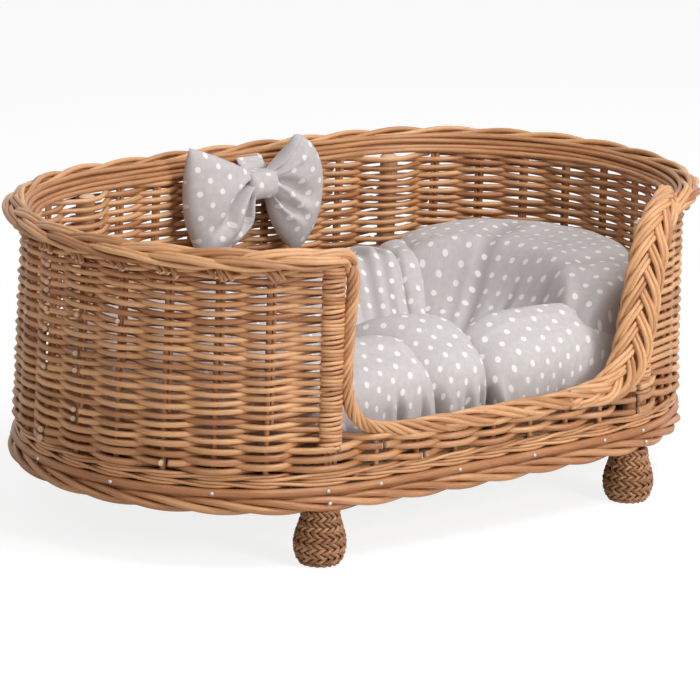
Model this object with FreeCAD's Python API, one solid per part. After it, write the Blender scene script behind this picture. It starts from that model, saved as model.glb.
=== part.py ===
import FreeCAD, Part
import math
import os
from FreeCAD import Vector

# A wicker pet bed: an oval willow basket on four woven feet, with a low entrance cut into its
# front wall, a lift-out cushion, and a cotton bow that hangs from the back of the top border.
# Millimetres. +Z is up, X runs along the length, and the entrance faces -Y. The origin is on the
# floor, below the middle of the board.

# Plan of the wall, along the line of uprights and level with the top of the board.
wall_half_length = 358.0
wall_half_width = 212.0
side_bow = 5.0              # how much flatter than round: the ends' radius falls short by this
wall_lean = 5.0             # how far the wall closes in from the board up to the top border

# Heights.
foot_height = 53.0          # floor to the underside of the foot border
board_thickness = 10.0
sill_height = 125.0         # middle of the border along the entrance
rim_height = 295.4          # middle of the top border

# Uprights.
stake_radius = 2.9          # willow stakes, six-sided here
post_radius = 9.5           # the four thick sticks that carry the feet
post_place = 199.6          # from the middle of a long side, along the wall, to each post
sill_stakes = 7             # short stakes between the front posts
back_stakes = 7
end_stakes = 10             # round each end, between a front and a back post
post_gap_share = 1.2        # the gap beside a post, against the gap between two stakes
stake_kink = 8.0            # how far the stakes bend out under the top border

# Woven rods.
weaver_depth = 4.2
weaver_height = 7.0
row_pitch = 8.9
wale_rod = 2.9              # the three rods that twist round the foot of the wall
wale_rise = 4.1             # how far each of them climbs and falls about the middle of the wale
row_break = 0.4             # between the two cut ends of a rod that goes all the way round

# Hoop and foot border.
hoop_radius = 4.2
nail_radius = 0.9
nail_head_radius = 2.0
nail_length = 22.0
nail_stakes = 4             # one nail in this many stakes, and one in each post
foot_rod_half = 1.9
foot_twist_out = 4.4
foot_twist_up = 5.1
foot_twist_turns = 12
foot_border_out = 6.4       # from the line of uprights to the middle of the foot border

# Top border, a plait of three rods.
top_rod_half = 3.3
top_plait_out = 12.0
top_plait_up = 8.2
top_plait_turns = 10
top_border_out = 12.5
top_border_start = 167.0    # from the middle of the entrance, along the wall

# Border round the entrance: a twist down the left and along the sill, a plait up the right.
entrance_left = -175.3
entrance_right = 201.5
left_corner = 24.0          # radii of the border's middle line
right_corner = 48.0
entrance_join = 131.0       # where the sill's twist runs into the plait
join_break = 3.0
rope_rod_half = 2.15
rope_twist = 5.0
sill_twist = 7.0
sill_out = 2.0
rope_pitch = 76.0           # length of one full turn of the twist
braid_rod_half = 2.5
sill_plait_wide = 12.4
braid_plait_wide = 17.5
braid_plait_deep = 5.3
braid_pitch = 62.0

# Woven feet.
foot_top_radius = 18.5
foot_bulb_radius = 25.0
foot_base_radius = 16.5
foot_bulb_height = 20.0
foot_rows = 5
foot_groove = 1.6
foot_sides = 8

# Cushion.
cushion_set_in = 27.0       # from the line of uprights to the side of the cushion
cushion_back = 157.0        # its back edge stops short of the bow
cushion_height = 124.0
cushion_dip = 84.0          # height of its hollow middle
cushion_dip_x = 50.0        # where that middle is
cushion_dip_y = -30.0
cushion_bulge_height = 46.0
cushion_shoulder_height = 96.0
cushion_lobes = 5
cushion_lobe_rise = 5.0
cushion_seam_in = 8.0       # how far the seams between lobes pull the side in
cushion_points = 20
cover_thickness = 3.0

# Bow.
bow_middle = 20.0
bow_drop = 22.4             # from the middle of the top border down to the middle of the knot
bow_span = 88.0             # from the knot's middle to a wing's end
wing_drop = 11.5            # how much lower the middle of a wing's end is
wing_half_height = 55.0
wing_half_depth = 17.0
throat_half_height = 14.0
throat_half_depth = 10.0
knot_half_width = 18.0
knot_wrap = 5.2
strap_half_width = 15.0
strap_thickness = 1.4

# Clearances.
fit_gap = 0.25              # woven rods against what they pass, and parts that stand on each other
bend_room = 1.25            # extra where a weaver's bend passes a stake's corners
square_turn = 1.42          # a square rod that has turned on its edge reaches this much further

# What follows from these.
end_radius = wall_half_width - side_bow         # flatter arcs join the round ends along the sides
long_side_radius = (
    wall_half_length**2 + wall_half_width**2 - 2 * wall_half_length * end_radius
) / (2 * (wall_half_width - end_radius))
end_centre = wall_half_length - end_radius
side_centre = long_side_radius - wall_half_width
join_angle = math.atan2(end_centre, side_centre)
side_length = long_side_radius * join_angle
quarter = side_length + end_radius * (math.pi / 2 - join_angle)
perimeter = 4 * quarter

stake_flat = stake_radius * math.cos(math.pi / 6)
post_middle = stake_flat - post_radius          # a post's outer side is in line with the stakes'
pass_out = stake_flat + fit_gap + bend_room + weaver_depth / 2
post_pass_in = stake_flat - 2 * post_radius - 2 * fit_gap - weaver_depth / 2

foot_border_half = foot_twist_up + foot_rod_half * square_turn
board_bottom = foot_height + 2 * foot_border_half + fit_gap
board_top = board_bottom + board_thickness
hoop_out = stake_flat + 2 * fit_gap + hoop_radius
hoop_corner = hoop_radius / math.cos(math.pi / 6)
hoop_height = board_bottom + hoop_corner

plait_station = math.sqrt(3) / 2                # height of a plait's crossings, against its rise
top_border_half = plait_station * top_plait_up + top_rod_half
top_border_bottom = rim_height - top_border_half
top_border_reach = math.hypot(top_plait_out + top_rod_half, top_rod_half)
sill_bottom = sill_height - sill_twist - rope_rod_half

wale_middle = board_top + fit_gap + wale_rise + wale_rod / 2
rows_bottom = wale_middle + wale_rise + wale_rod / 2 * square_turn + fit_gap
stake_end = top_border_bottom - fit_gap - stake_flat
lower_rows = int((sill_bottom - rows_bottom) / row_pitch)
all_rows = int((stake_end - rows_bottom) / row_pitch)
rows_top = rows_bottom + all_rows * row_pitch - (row_pitch - weaver_height)
stake_bend = rows_top + fit_gap + stake_flat


def lean(z):
    return wall_lean * (z - board_top) / (rim_height - board_top)


def plan(s):
    """Point and outward normal of the uprights' line, s along it from the front's middle."""
    s = s % perimeter
    if s > perimeter / 2:
        point, normal = plan(perimeter - s)
        return Vector(-point.x, point.y, 0), Vector(-normal.x, normal.y, 0)
    if s > quarter:
        point, normal = plan(perimeter / 2 - s)
        return Vector(point.x, -point.y, 0), Vector(normal.x, -normal.y, 0)
    if s < side_length:
        angle = s / long_side_radius
        normal = Vector(math.sin(angle), -math.cos(angle), 0)
        return Vector(0, side_centre, 0) + normal * long_side_radius, normal
    angle = join_angle + (s - side_length) / end_radius
    normal = Vector(math.sin(angle), -math.cos(angle), 0)
    return Vector(end_centre, 0, 0) + normal * end_radius, normal


def on_wall(s, out, z, aside=0):
    """Point at a distance out from the leaning wall's line of uprights, and straight aside of s."""
    point, normal = plan(s)
    along = Vector(-normal.y, normal.x, 0)
    return point + normal * (out - lean(z)) + along * aside + Vector(0, 0, z)


def uprights():
    """Every upright, counter-clockwise from the front right post: place along the wall, is a post."""
    posts = [
        post_place,
        perimeter / 2 - post_place,
        perimeter / 2 + post_place,
        perimeter - post_place,
        perimeter + post_place,
    ]
    counts = [end_stakes, back_stakes, end_stakes, sill_stakes]
    found = []
    for start, end, count in zip(posts, posts[1:], counts):
        gap = (end - start) / (count - 1 + 2 * post_gap_share)
        found.append((start, True))
        found += [(start + gap * (post_gap_share + k), False) for k in range(count)]
    return found


UPRIGHTS = uprights()
SIDE_UPRIGHTS = UPRIGHTS[: len(UPRIGHTS) - sill_stakes]   # those above the sill, post to post


# Solids with flat faces.
def face(points):
    return Part.Face(Part.makePolygon(list(points) + [points[0]]))


def skin(sections, closed=False, split=False):
    """Solid through sections of as many points each; split halves the sides that aren't flat."""
    faces = []
    pairs = list(zip(sections, sections[1:]))
    if closed:
        pairs.append((sections[-1], sections[0]))
    else:
        faces += [face(sections[0]), face(sections[-1])]
    for low, high in pairs:
        for k in range(len(low)):
            a, b = low[k - 1], low[k]
            c, d = high[k], high[k - 1]
            if split:
                faces += [face([a, b, c]), face([a, c, d])]
            else:
                faces.append(face([a, b, c, d]))
    solid = Part.Solid(Part.Shell(faces))
    if solid.Volume < 0:
        solid.reverse()
    return solid


def rod(points, profile, first, closed=False):
    """Straight-sided rod along a line of points, mitred at its bends.

    profile is the section's corners, as distances along first and across it."""
    count = len(points)
    ends = points[1:] + points[:1] if closed else points[1:]
    runs = [(b - a).normalize() for a, b in zip(points, ends)]
    along = runs[0]
    up = (first - along * first.dot(along)).normalize()
    across = along.cross(up)
    section = [points[0] + up * a + across * b for a, b in profile]
    if closed:
        section = mitre(section, points[0], runs[-1], runs[0])
    sections = [section]
    for k in range(1, count):
        before = runs[k - 1]
        after = runs[k] if k < len(runs) else before
        section = mitre(section, points[k], before, after)
        sections.append(section)
    return skin(sections, closed)


def mitre(section, corner, before, after):
    """Slides a section's corners along the run before to the plane halfway to the run after."""
    normal = before + after
    return [p + before * ((corner - p).dot(normal) / before.dot(normal)) for p in section]


def square(half):
    return [(half, half), (-half, half), (-half, -half), (half, -half)]


def polygon(radius, sides, turn=0.0):
    step = 2 * math.pi / sides
    return [(radius * math.cos(turn + step * k), radius * math.sin(turn + step * k)) for k in range(sides)]


def hexagon(corner_radius):
    return polygon(corner_radius, 6, math.pi / 6)


def band(points, depth, low, height, closed):
    """Upright strip of a given depth along level points, such as a woven rod seen from above."""
    if closed:
        outer = Part.makePolygon(sideways(points, depth / 2, True))
        inner = Part.makePolygon(sideways(points, -depth / 2, True))
        strip = Part.Face([outer, inner])
    else:
        edge = sideways(points, depth / 2, False) + sideways(points, -depth / 2, False)[::-1]
        strip = face(edge)
    strip.translate(Vector(0, 0, low))
    return strip.extrude(Vector(0, 0, height))


def sideways(points, distance, closed):
    """Level points moved to one side of their line, with mitred corners."""
    moved = []
    last = len(points) - 1
    for k, point in enumerate(points):
        before = points[k - 1] if k or closed else None
        after = points[(k + 1) % len(points)] if k < last or closed else None
        come = (point - before).normalize() if before is not None else (after - point).normalize()
        go = (after - point).normalize() if after is not None else come
        left = Vector(-come.y - go.y, come.x + go.x, 0)
        left.normalize()
        moved.append(point + left * (distance / left.dot(Vector(-come.y, come.x, 0))))
    if closed:
        moved.append(moved[0])
    return moved


def oval(out, low, height):
    """Plate with the wall's plan, its edge at a distance out from the uprights' line."""
    places = [0, side_length, quarter, 2 * quarter - side_length, 2 * quarter]
    places += [2 * quarter + side_length, 3 * quarter, 4 * quarter - side_length, 4 * quarter]
    places = [places[k] for k in (7, 0, 1, 2, 3, 4, 5, 6)]

    def edge(s):
        point, normal = plan(s)
        return point + normal * out + Vector(0, 0, low)

    arcs = []
    for start, middle, end in ((0, 1, 2), (2, 3, 4), (4, 5, 6), (6, 7, 0)):
        arcs.append(Part.Arc(edge(places[start]), edge(places[middle]), edge(places[end])).toShape())
    return Part.Face(Part.Wire(arcs)).extrude(Vector(0, 0, height))


def save(node, solids):
    shape = solids[0] if len(solids) == 1 else Part.makeCompound(solids)
    shape.exportStep("parts/" + node + ".step")


# The base.
def base_board():
    board = oval(-stake_flat - fit_gap, board_bottom, board_thickness)
    for s, is_post in UPRIGHTS:
        if is_post:
            board = board.cut(post_stick(s, post_radius + fit_gap, board_bottom - 1, board_top + 1))
    return [board.Solids[0]]


def base_hoop():
    points = [on_wall(s, hoop_out, hoop_height) for s, _ in UPRIGHTS]
    return [rod(points, hexagon(hoop_corner), plan(UPRIGHTS[0][0])[1], closed=True)]


def hoop_nails():
    """Nails through the hoop into every few stakes and every post."""
    nails = []
    stakes = [s for s, is_post in UPRIGHTS if not is_post]
    posts = [s for s, is_post in UPRIGHTS if is_post]
    for s in stakes[1::nail_stakes] + posts:
        head = on_wall(s, hoop_out + hoop_radius + fit_gap, hoop_height)
        normal = plan(s)[1]
        shape = (
            (nail_length, nail_radius),
            (nail_head_radius, nail_radius),
            (0, nail_head_radius),
        )
        across = Vector(0, 0, 1).cross(normal)
        sections = []
        for depth, radius in shape:
            ring = polygon(radius, 4)
            sections.append([head - normal * depth + across * a + Vector(0, 0, b) for a, b in ring])
        nails.append(skin(sections))
    return nails


def foot_border():
    """Three rods twisted together under the board's edge, where the stakes' ends are turned."""
    stations = 4 * foot_twist_turns
    length = perimeter - row_break
    start = perimeter / 2 + row_break / 2
    rods = []
    for strand in range(3):
        points = []
        for k in range(stations + 1):
            up, out = twist(k, strand, foot_twist_up, foot_twist_out)
            centre, normal = plan(start + length * k / stations)
            out += foot_border_out
            points.append(centre + normal * out + Vector(0, 0, foot_height + foot_border_half + up))
        rods.append(rod(points, square(foot_rod_half), Vector(0, 0, 1)))
    return rods


# Uprights.
def straight_stake(s, low, high):
    return [on_wall(s, 0, low), on_wall(s, 0, high)]


def stake(points, s):
    return rod(points, hexagon(stake_radius), plan(s)[1])


def side_stakes():
    """Full-height stakes; each is kinked outwards at its top, where it goes into the border."""
    stakes = []
    for s, is_post in SIDE_UPRIGHTS:
        if not is_post:
            points = straight_stake(s, board_bottom, stake_bend)
            points.append(on_wall(s, stake_kink, stake_end))
            stakes.append(stake(points, s))
    return stakes


def short_stakes():
    """Stakes under the sill; the plait at its right end hangs lower than the twist."""
    stakes = []
    for s, _ in UPRIGHTS[len(SIDE_UPRIGHTS) :]:
        under_plait = s - perimeter > entrance_join
        reach = sill_plait_wide + braid_rod_half * square_turn if under_plait else sill_height - sill_bottom
        stakes.append(stake(straight_stake(s, board_bottom, sill_height - reach - 2 * fit_gap), s))
    return stakes


def post_stick(s, radius, low, high):
    points = [on_wall(s, post_middle, low), on_wall(s, post_middle, high)]
    return rod(points, polygon(radius / math.cos(math.pi / 12), 12, math.pi / 12), plan(s)[1])


def post(s):
    """A post runs from inside its foot, past a notch in the board's edge, up to the top border.

    It is shaved flat where the foot border passes."""
    stick = post_stick(s, post_radius, fit_gap, top_border_bottom - fit_gap)
    inner = foot_border_out - foot_twist_out - foot_rod_half * square_turn - fit_gap
    centre, normal = plan(s)
    across = Vector(0, 0, 1).cross(normal)
    corner = centre + normal * inner - across * 2 * post_radius + Vector(0, 0, foot_height - fit_gap)
    shaving = face(
        [
            corner,
            corner + across * 4 * post_radius,
            corner + across * 4 * post_radius + normal * 2 * post_radius,
            corner + normal * 2 * post_radius,
        ]
    ).extrude(Vector(0, 0, board_bottom - foot_height + fit_gap))
    return [stick.cut(shaving).Solids[0]]


# The weave.
def pass_points(s, is_post, outside, z):
    """Where a weaver goes past an upright: one bend at a stake, two at a post."""
    if not is_post:
        return [on_wall(s, pass_out if outside else -pass_out, z)]
    out = pass_out if outside else post_pass_in
    half = post_radius * 0.45
    return [on_wall(s, out, z, -half), on_wall(s, out, z, half)]


def wrap_points(s, outside, z, toward):
    """End of a side row: it bends round the free side of a front post. toward is the way there."""
    reach = post_radius + fit_gap + weaver_depth / 2
    out = pass_out if outside else post_pass_in
    half = (out - post_middle) / 2
    return [
        on_wall(s, out, z, toward * post_radius * 0.6),
        on_wall(s, post_middle + half, z, toward * reach),
        on_wall(s, post_middle, z, toward * reach),
    ]


def row(index):
    """One weaver, in front of every other upright. Rows above the sill stop at the front posts."""
    z = rows_bottom + index * row_pitch + weaver_height / 2
    whole = index < lower_rows
    passed = UPRIGHTS if whole else SIDE_UPRIGHTS
    points = []
    for k, (s, is_post) in enumerate(passed):
        outside = (k + index) % 2 == 0
        if not whole and k == 0:
            points += wrap_points(s, outside, z, -1)[::-1]
            points.append(pass_points(s, True, outside, z)[1])
        elif not whole and k == len(passed) - 1:
            points.append(pass_points(s, True, outside, z)[0])
            points += wrap_points(s, outside, z, 1)
        else:
            points += pass_points(s, is_post, outside, z)
    level = [Vector(p.x, p.y, 0) for p in points]
    return band(level, weaver_depth, z - weaver_height / 2, weaver_height, whole)


def bottom_wale():
    """Three rods that twist round the foot of the wall: in front of two uprights, behind one."""
    rods = []
    reach = stake_flat + fit_gap + bend_room + wale_rod / 2
    post_reach = post_pass_in + (weaver_depth - wale_rod) / 2 - fit_gap
    states = ((reach, wale_rise), (reach, -wale_rise), (-reach, 0))
    first = UPRIGHTS[0][0]
    last = UPRIGHTS[-1][0]
    start = (first + last - perimeter) / 2
    for strand in range(3):
        out, rise = between(states, strand - 1)
        points = [on_wall(start + row_break / 2, out, wale_middle + rise)]
        for k, (s, is_post) in enumerate(UPRIGHTS):
            out, rise = states[(k + strand) % 3]
            if is_post and out < 0:
                out = post_reach
            for aside in (-post_radius * 0.45, post_radius * 0.45) if is_post else (0,):
                points.append(on_wall(s, out, wale_middle + rise, aside))
        out, rise = between(states, strand + len(UPRIGHTS) - 1)
        points.append(on_wall(start - row_break / 2, out, wale_middle + rise))
        rods.append(rod(points, square(wale_rod / 2), Vector(0, 0, 1)))
    return rods


def between(states, k):
    """Halfway from one upright's state to the next one's."""
    a = states[k % 3]
    b = states[(k + 1) % 3]
    return ((a[0] + b[0]) / 2, (a[1] + b[1]) / 2)


# Borders.
def plait(k, strand, wide, rise):
    """Where a plait's rod is at its k-th bend, six to a turn: across it, and above or below it."""
    angle = math.pi / 3 * (k + 0.5) + 2 * math.pi / 3 * strand
    return wide * math.sin(angle), rise * math.sin(2 * angle)


def twist(k, strand, wide, rise):
    """The same for a twist, with four bends to a turn."""
    angle = math.pi / 2 * k + 2 * math.pi / 3 * strand
    return wide * math.cos(angle), rise * math.sin(angle)


def top_border():
    """Plait of three rods round the top, from one side of the entrance to the other."""
    stations = 6 * top_plait_turns
    length = perimeter - 2 * top_border_start
    rods = []
    for strand in range(3):
        points = []
        for k in range(stations + 1):
            out, up = plait(k, strand, top_plait_out, top_plait_up)
            centre, normal = plan(top_border_start + length * k / stations)
            out += top_border_out - lean(rim_height)
            points.append(centre + normal * out + Vector(0, 0, rim_height + up))
        rods.append(rod(points, square(top_rod_half), Vector(0, 0, 1)))
    return rods


def entrance_line(t):
    """Line round the entrance from its top left: place along the wall, height, and direction."""
    if t < left_drop:
        return entrance_left, entrance_top - t, (0, -1)
    if t < sill_start:
        angle = (t - left_drop) / left_corner
        s = entrance_left + left_corner * (1 - math.cos(angle))
        return s, sill_height + left_corner * (1 - math.sin(angle)), (math.sin(angle), -math.cos(angle))
    if t < sill_end:
        return entrance_left + left_corner + t - sill_start, sill_height, (1, 0)
    if t < right_foot:
        angle = (t - sill_end) / right_corner
        s = entrance_right - right_corner * (1 - math.sin(angle))
        return s, sill_height + right_corner * (1 - math.cos(angle)), (math.cos(angle), math.sin(angle))
    return entrance_right, sill_height + right_corner + t - right_foot, (0, 1)


# Lengths along that line.
entrance_top = top_border_bottom - fit_gap - rope_rod_half / 2
left_drop = entrance_top - sill_height - left_corner
sill_start = left_drop + left_corner * math.pi / 2
sill_end = sill_start + entrance_right - right_corner - entrance_left - left_corner
right_foot = sill_end + right_corner * math.pi / 2
rope_end = sill_start + entrance_join - entrance_left - left_corner
braid_end = right_foot + entrance_top - braid_rod_half - sill_height - right_corner


def ease(t, start, end):
    """0 before start, 1 after end, smooth between."""
    share = min(max((t - start) / (end - start), 0.0), 1.0)
    return share * share * (3 - 2 * share)


def entrance_strand(start, end, stations, strand, pattern, size, half):
    """One rod of the entrance's border. size gives its width, depth and distance out at a place."""
    points = []
    for k in range(stations + 1):
        t = start + (end - start) * k / stations
        s, z, (run, climb) = entrance_line(t)
        wide, deep, out = size(t)
        across, forward = pattern(k, strand, wide, deep)
        points.append(on_wall(s - climb * across, out + forward, z + run * across))
    return rod(points, square(half), plan(entrance_line(start)[0])[1])


def entrance_rope():
    """Twist of three rods down the left side of the entrance and along the sill."""
    stations = 4 * round(rope_end / rope_pitch)

    def size(t):
        reach = rope_twist + (sill_twist - rope_twist) * ease(t, left_drop, sill_start + left_corner)
        return reach, reach, sill_out

    return [
        entrance_strand(0, rope_end, stations, strand, twist, size, rope_rod_half)
        for strand in range(3)
    ]


def entrance_braid():
    """Broad plait from the sill up the right side of the entrance, in front of the post."""
    start = rope_end + join_break
    stations = 6 * round((braid_end - start) / braid_pitch)
    in_front = pass_out + weaver_depth / 2 + fit_gap
    in_front += plait_station * braid_plait_deep + braid_rod_half * square_turn

    def size(t):
        wide = sill_plait_wide + (braid_plait_wide - sill_plait_wide) * ease(t, start, right_foot)
        return wide, braid_plait_deep, sill_out + (in_front - sill_out) * ease(t, start, sill_end)

    return [
        entrance_strand(start, braid_end, stations, strand, plait, size, braid_rod_half)
        for strand in range(3)
    ]


# Feet.
def foot_radius(z):
    """Outline of a foot: a round bulb below, which narrows to a neck under the board."""
    if z < foot_bulb_height:
        share = 1 - z / foot_bulb_height
        return foot_base_radius + (foot_bulb_radius - foot_base_radius) * math.sqrt(1 - share**2)
    share = (z - foot_bulb_height) / (foot_height - foot_bulb_height)
    return foot_top_radius + (foot_bulb_radius - foot_top_radius) * (1 + math.cos(math.pi * share)) / 2


def foot_weave(s):
    """Willow woven round the lower end of a post, one ridge for each woven row."""
    top = foot_height - 2 * fit_gap
    axis = on_wall(s, post_middle, foot_bulb_height)
    axis.z = 0
    bore = (post_radius / math.cos(math.pi / 12) + 2 * fit_gap + wall_lean / 10) / math.cos(math.pi / foot_sides)
    outline = [(bore, 0)]
    for k in range(2 * foot_rows + 1):
        z = top * k / (2 * foot_rows)
        outline.append((foot_radius(z) - (foot_groove if k % 2 == 0 else 0), z))
    outline.append((bore, top))
    sections = []
    for k in range(foot_sides):
        angle = 2 * math.pi * k / foot_sides
        ray = Vector(math.cos(angle), math.sin(angle), 0)
        sections.append([axis + ray * radius + Vector(0, 0, z) for radius, z in outline])
    return [skin(sections, closed=True)]


# The cushion.
def cushion_ring(share, height, lobed, inset):
    """Points round the cushion at a share of its plan; lobes rise and fall along it."""
    points = []
    for k in range(cushion_points):
        wave = math.cos(2 * math.pi * cushion_lobes * k / cushion_points)
        point, normal = plan(perimeter * k / cushion_points)
        point = point - normal * (cushion_set_in + inset + cushion_seam_in * (1 - wave) / 2)
        if point.y > 0:
            point.y *= (cushion_back - inset) / (wall_half_width - cushion_set_in - inset)
        z = board_top + fit_gap + height + lobed * wave
        x = point.x * share + cushion_dip_x * (1 - share)
        points.append(Vector(x, point.y * share + cushion_dip_y * (1 - share), z))
    return points


def cushion_body(inset):
    rise = cushion_lobe_rise
    return skin(
        [
            cushion_ring(0.88, inset, 0, inset),
            cushion_ring(1.0, cushion_bulge_height, 0, inset),
            cushion_ring(0.93, cushion_shoulder_height - inset, rise, inset),
            cushion_ring(0.66, cushion_height - inset, rise, inset),
            cushion_ring(0.12, cushion_dip - inset, 0, inset),
        ],
        split=True,
    )


def cushion_cover():
    return [cushion_body(0).cut(cushion_body(cover_thickness)).Solids[0]]


def cushion_filling():
    return [cushion_body(cover_thickness + fit_gap)]


# The bow.
wall_inside = wall_half_width - lean(rows_top) - pass_out - weaver_depth / 2
bow_depth_middle = wall_inside - fit_gap - wing_half_depth
border_middle = wall_half_width + top_border_out - lean(rim_height)
bow_height = rim_height - bow_drop


def bow_section(x, half_depth, half_height, z):
    """Eight-sided section across the bow, with its corners taken off."""
    corners = [
        (1, 0.55), (0.5, 1), (-0.5, 1), (-1, 0.55), (-1, -0.55), (-0.5, -1), (0.5, -1), (1, -0.55),
    ]
    return [
        Vector(bow_middle + x, bow_depth_middle + half_depth * a, z + half_height * b)
        for a, b in corners
    ]


def bow_wing(side):
    """Padded wing: thin where the knot grips it, full and deep further out, soft at its end."""
    spread = knot_half_width
    free = bow_span - spread
    shape = (
        (fit_gap / 2, throat_half_depth, throat_half_height, 0),
        (spread + fit_gap, throat_half_depth, throat_half_height, 0),
        (spread + 0.12 * free, 0.75 * wing_half_depth, 0.42 * wing_half_height, 0.1),
        (spread + 0.6 * free, wing_half_depth, 0.84 * wing_half_height, 0.6),
        (spread + 0.9 * free, 0.8 * wing_half_depth, wing_half_height, 0.95),
        (bow_span, 0.35 * wing_half_depth, 0.96 * wing_half_height, 1),
    )
    sections = [
        bow_section(side * x, depth, height, bow_height - wing_drop * drop)
        for x, depth, height, drop in shape
    ]
    return [skin(sections, split=True)]


def bow_knot():
    """Band of cloth wrapped round the middle of the bow."""
    inner = [throat_half_depth + fit_gap, throat_half_height + fit_gap]
    outer = [throat_half_depth + knot_wrap, throat_half_height + knot_wrap]
    rings = [
        bow_section(-knot_half_width, *inner, bow_height),
        bow_section(-knot_half_width, *outer, bow_height),
        bow_section(knot_half_width, *outer, bow_height),
        bow_section(knot_half_width, *inner, bow_height),
    ]
    return [skin([list(section) for section in zip(*rings)], closed=True)]


def bow_strap():
    """Loop of cloth round the top border, sewn to the back of the knot."""
    inner = (top_border_reach + fit_gap) / math.cos(math.pi / 12)
    outer = inner + strap_thickness
    sections = []
    for k in range(12):
        angle = 2 * math.pi * (k + 0.5) / 12
        ray = Vector(0, math.cos(angle), math.sin(angle))
        middle = Vector(bow_middle, border_middle, rim_height)
        sections.append(
            [
                middle + ray * radius + Vector(x, 0, 0)
                for radius, x in (
                    (inner, -strap_half_width),
                    (outer, -strap_half_width),
                    (outer, strap_half_width),
                    (inner, strap_half_width),
                )
            ]
        )
    loop = skin(sections, closed=True)
    knot_back = bow_depth_middle + throat_half_depth + knot_wrap + fit_gap
    loop_side = border_middle - inner * math.cos(math.pi / 12)
    width = 2 * strap_half_width
    left = bow_middle - strap_half_width
    tail_low = bow_height - knot_half_width / 2
    tail_top = rim_height + strap_thickness
    tail = Part.makeBox(width, strap_thickness, tail_top - tail_low, Vector(left, knot_back, tail_low))
    turn_low = rim_height - 7 * strap_thickness
    turn = Part.makeBox(
        width,
        loop_side - strap_thickness / 2 - knot_back,
        tail_top - turn_low,
        Vector(left, knot_back, turn_low),
    )
    turn = turn.cut(skin(strap_hollow(inner)))
    return [loop.fuse([tail, turn]).removeSplitter().Solids[0]]


def strap_hollow(radius):
    """The two end sections of the round space inside the strap's loop."""
    ends = []
    for x in (-strap_half_width - 1, strap_half_width + 1):
        ring = []
        for k in range(12):
            angle = 2 * math.pi * (k + 0.5) / 12
            ray = Vector(0, math.cos(angle), math.sin(angle))
            ring.append(Vector(bow_middle + x, border_middle, rim_height) + ray * radius)
        ends.append(ring)
    return ends


def main():
    os.makedirs("parts", exist_ok=True)
    save("base_board", base_board())
    save("base_hoop", base_hoop())
    save("hoop_nails", hoop_nails())
    save("foot_border", foot_border())
    save("side_stakes", side_stakes())
    save("sill_stakes", short_stakes())
    names = ("front_right", "back_right", "back_left", "front_left")
    posts = [s for s, is_post in UPRIGHTS if is_post]
    for name, s in zip(names, posts):
        save(name + "_post", post(s))
        save(name + "_foot", foot_weave(s))
    save("bottom_wale", bottom_wale())
    save("lower_weave", [row(k) for k in range(lower_rows)])
    save("side_weave", [row(k) for k in range(lower_rows, all_rows)])
    save("top_border", top_border())
    save("entrance_rope", entrance_rope())
    save("entrance_braid", entrance_braid())
    save("cushion_cover", cushion_cover())
    save("cushion_filling", cushion_filling())
    save("bow_left_wing", bow_wing(-1))
    save("bow_right_wing", bow_wing(1))
    save("bow_knot", bow_knot())
    save("bow_strap", bow_strap())


main()
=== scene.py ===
import math

import bpy
import numpy as np
from mathutils import Matrix, Vector


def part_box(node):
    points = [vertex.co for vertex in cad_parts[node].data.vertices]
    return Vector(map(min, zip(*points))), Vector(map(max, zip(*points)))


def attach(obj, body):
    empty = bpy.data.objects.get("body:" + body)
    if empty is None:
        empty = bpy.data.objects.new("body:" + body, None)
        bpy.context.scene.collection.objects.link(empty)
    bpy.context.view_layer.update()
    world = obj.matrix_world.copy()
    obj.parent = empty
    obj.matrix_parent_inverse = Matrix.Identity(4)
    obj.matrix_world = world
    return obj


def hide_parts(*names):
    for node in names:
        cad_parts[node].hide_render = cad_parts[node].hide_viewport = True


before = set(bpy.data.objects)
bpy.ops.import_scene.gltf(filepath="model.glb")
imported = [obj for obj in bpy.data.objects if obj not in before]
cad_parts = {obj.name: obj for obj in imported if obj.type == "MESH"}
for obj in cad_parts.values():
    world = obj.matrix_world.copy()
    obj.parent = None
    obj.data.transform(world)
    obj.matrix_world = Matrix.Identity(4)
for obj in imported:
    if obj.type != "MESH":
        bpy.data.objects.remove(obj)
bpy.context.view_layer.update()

# A wicker pet bed: buff willow woven over upright stakes, plaited and twisted borders, woven feet,
# a lobed cotton cushion and a cotton bow. Lengths are in metres; MM turns millimetres into them.
MM = 0.001
chance = np.random.default_rng(41)


# ---------------------------------------------------------------------------
# The wall's plan, on the line of the stakes. It leans in from the board to the rim.
# ---------------------------------------------------------------------------
board_low, board_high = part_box("base_board")
border_low, border_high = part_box("top_border")
hoop_low, hoop_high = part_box("base_hoop")
foot_border_low, foot_border_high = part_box("foot_border")
wale_low, wale_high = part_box("bottom_wale")
weave_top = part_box("side_weave")[1].z
closed_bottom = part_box("lower_weave")[0].z
sill_stake_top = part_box("sill_stakes")[1].z
side_stake_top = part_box("side_stakes")[1].z

STAKE_TO_BOARD = 2.76 * MM
END_RADIUS = 207 * MM
WALL_LEAN = 5 * MM
POST_PLACE = 199.6 * MM
POST_RADIUS = 9.5 * MM
POST_MIDDLE = -7.0 * MM
STAKE_RADIUS = 2.9 * MM
END_STAKES, BACK_STAKES, SILL_STAKES = 10, 7, 7
# From a post to the stake beside it, in gaps between stakes.
POST_GAP = 1.2
SILL_HEIGHT = 125 * MM

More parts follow.
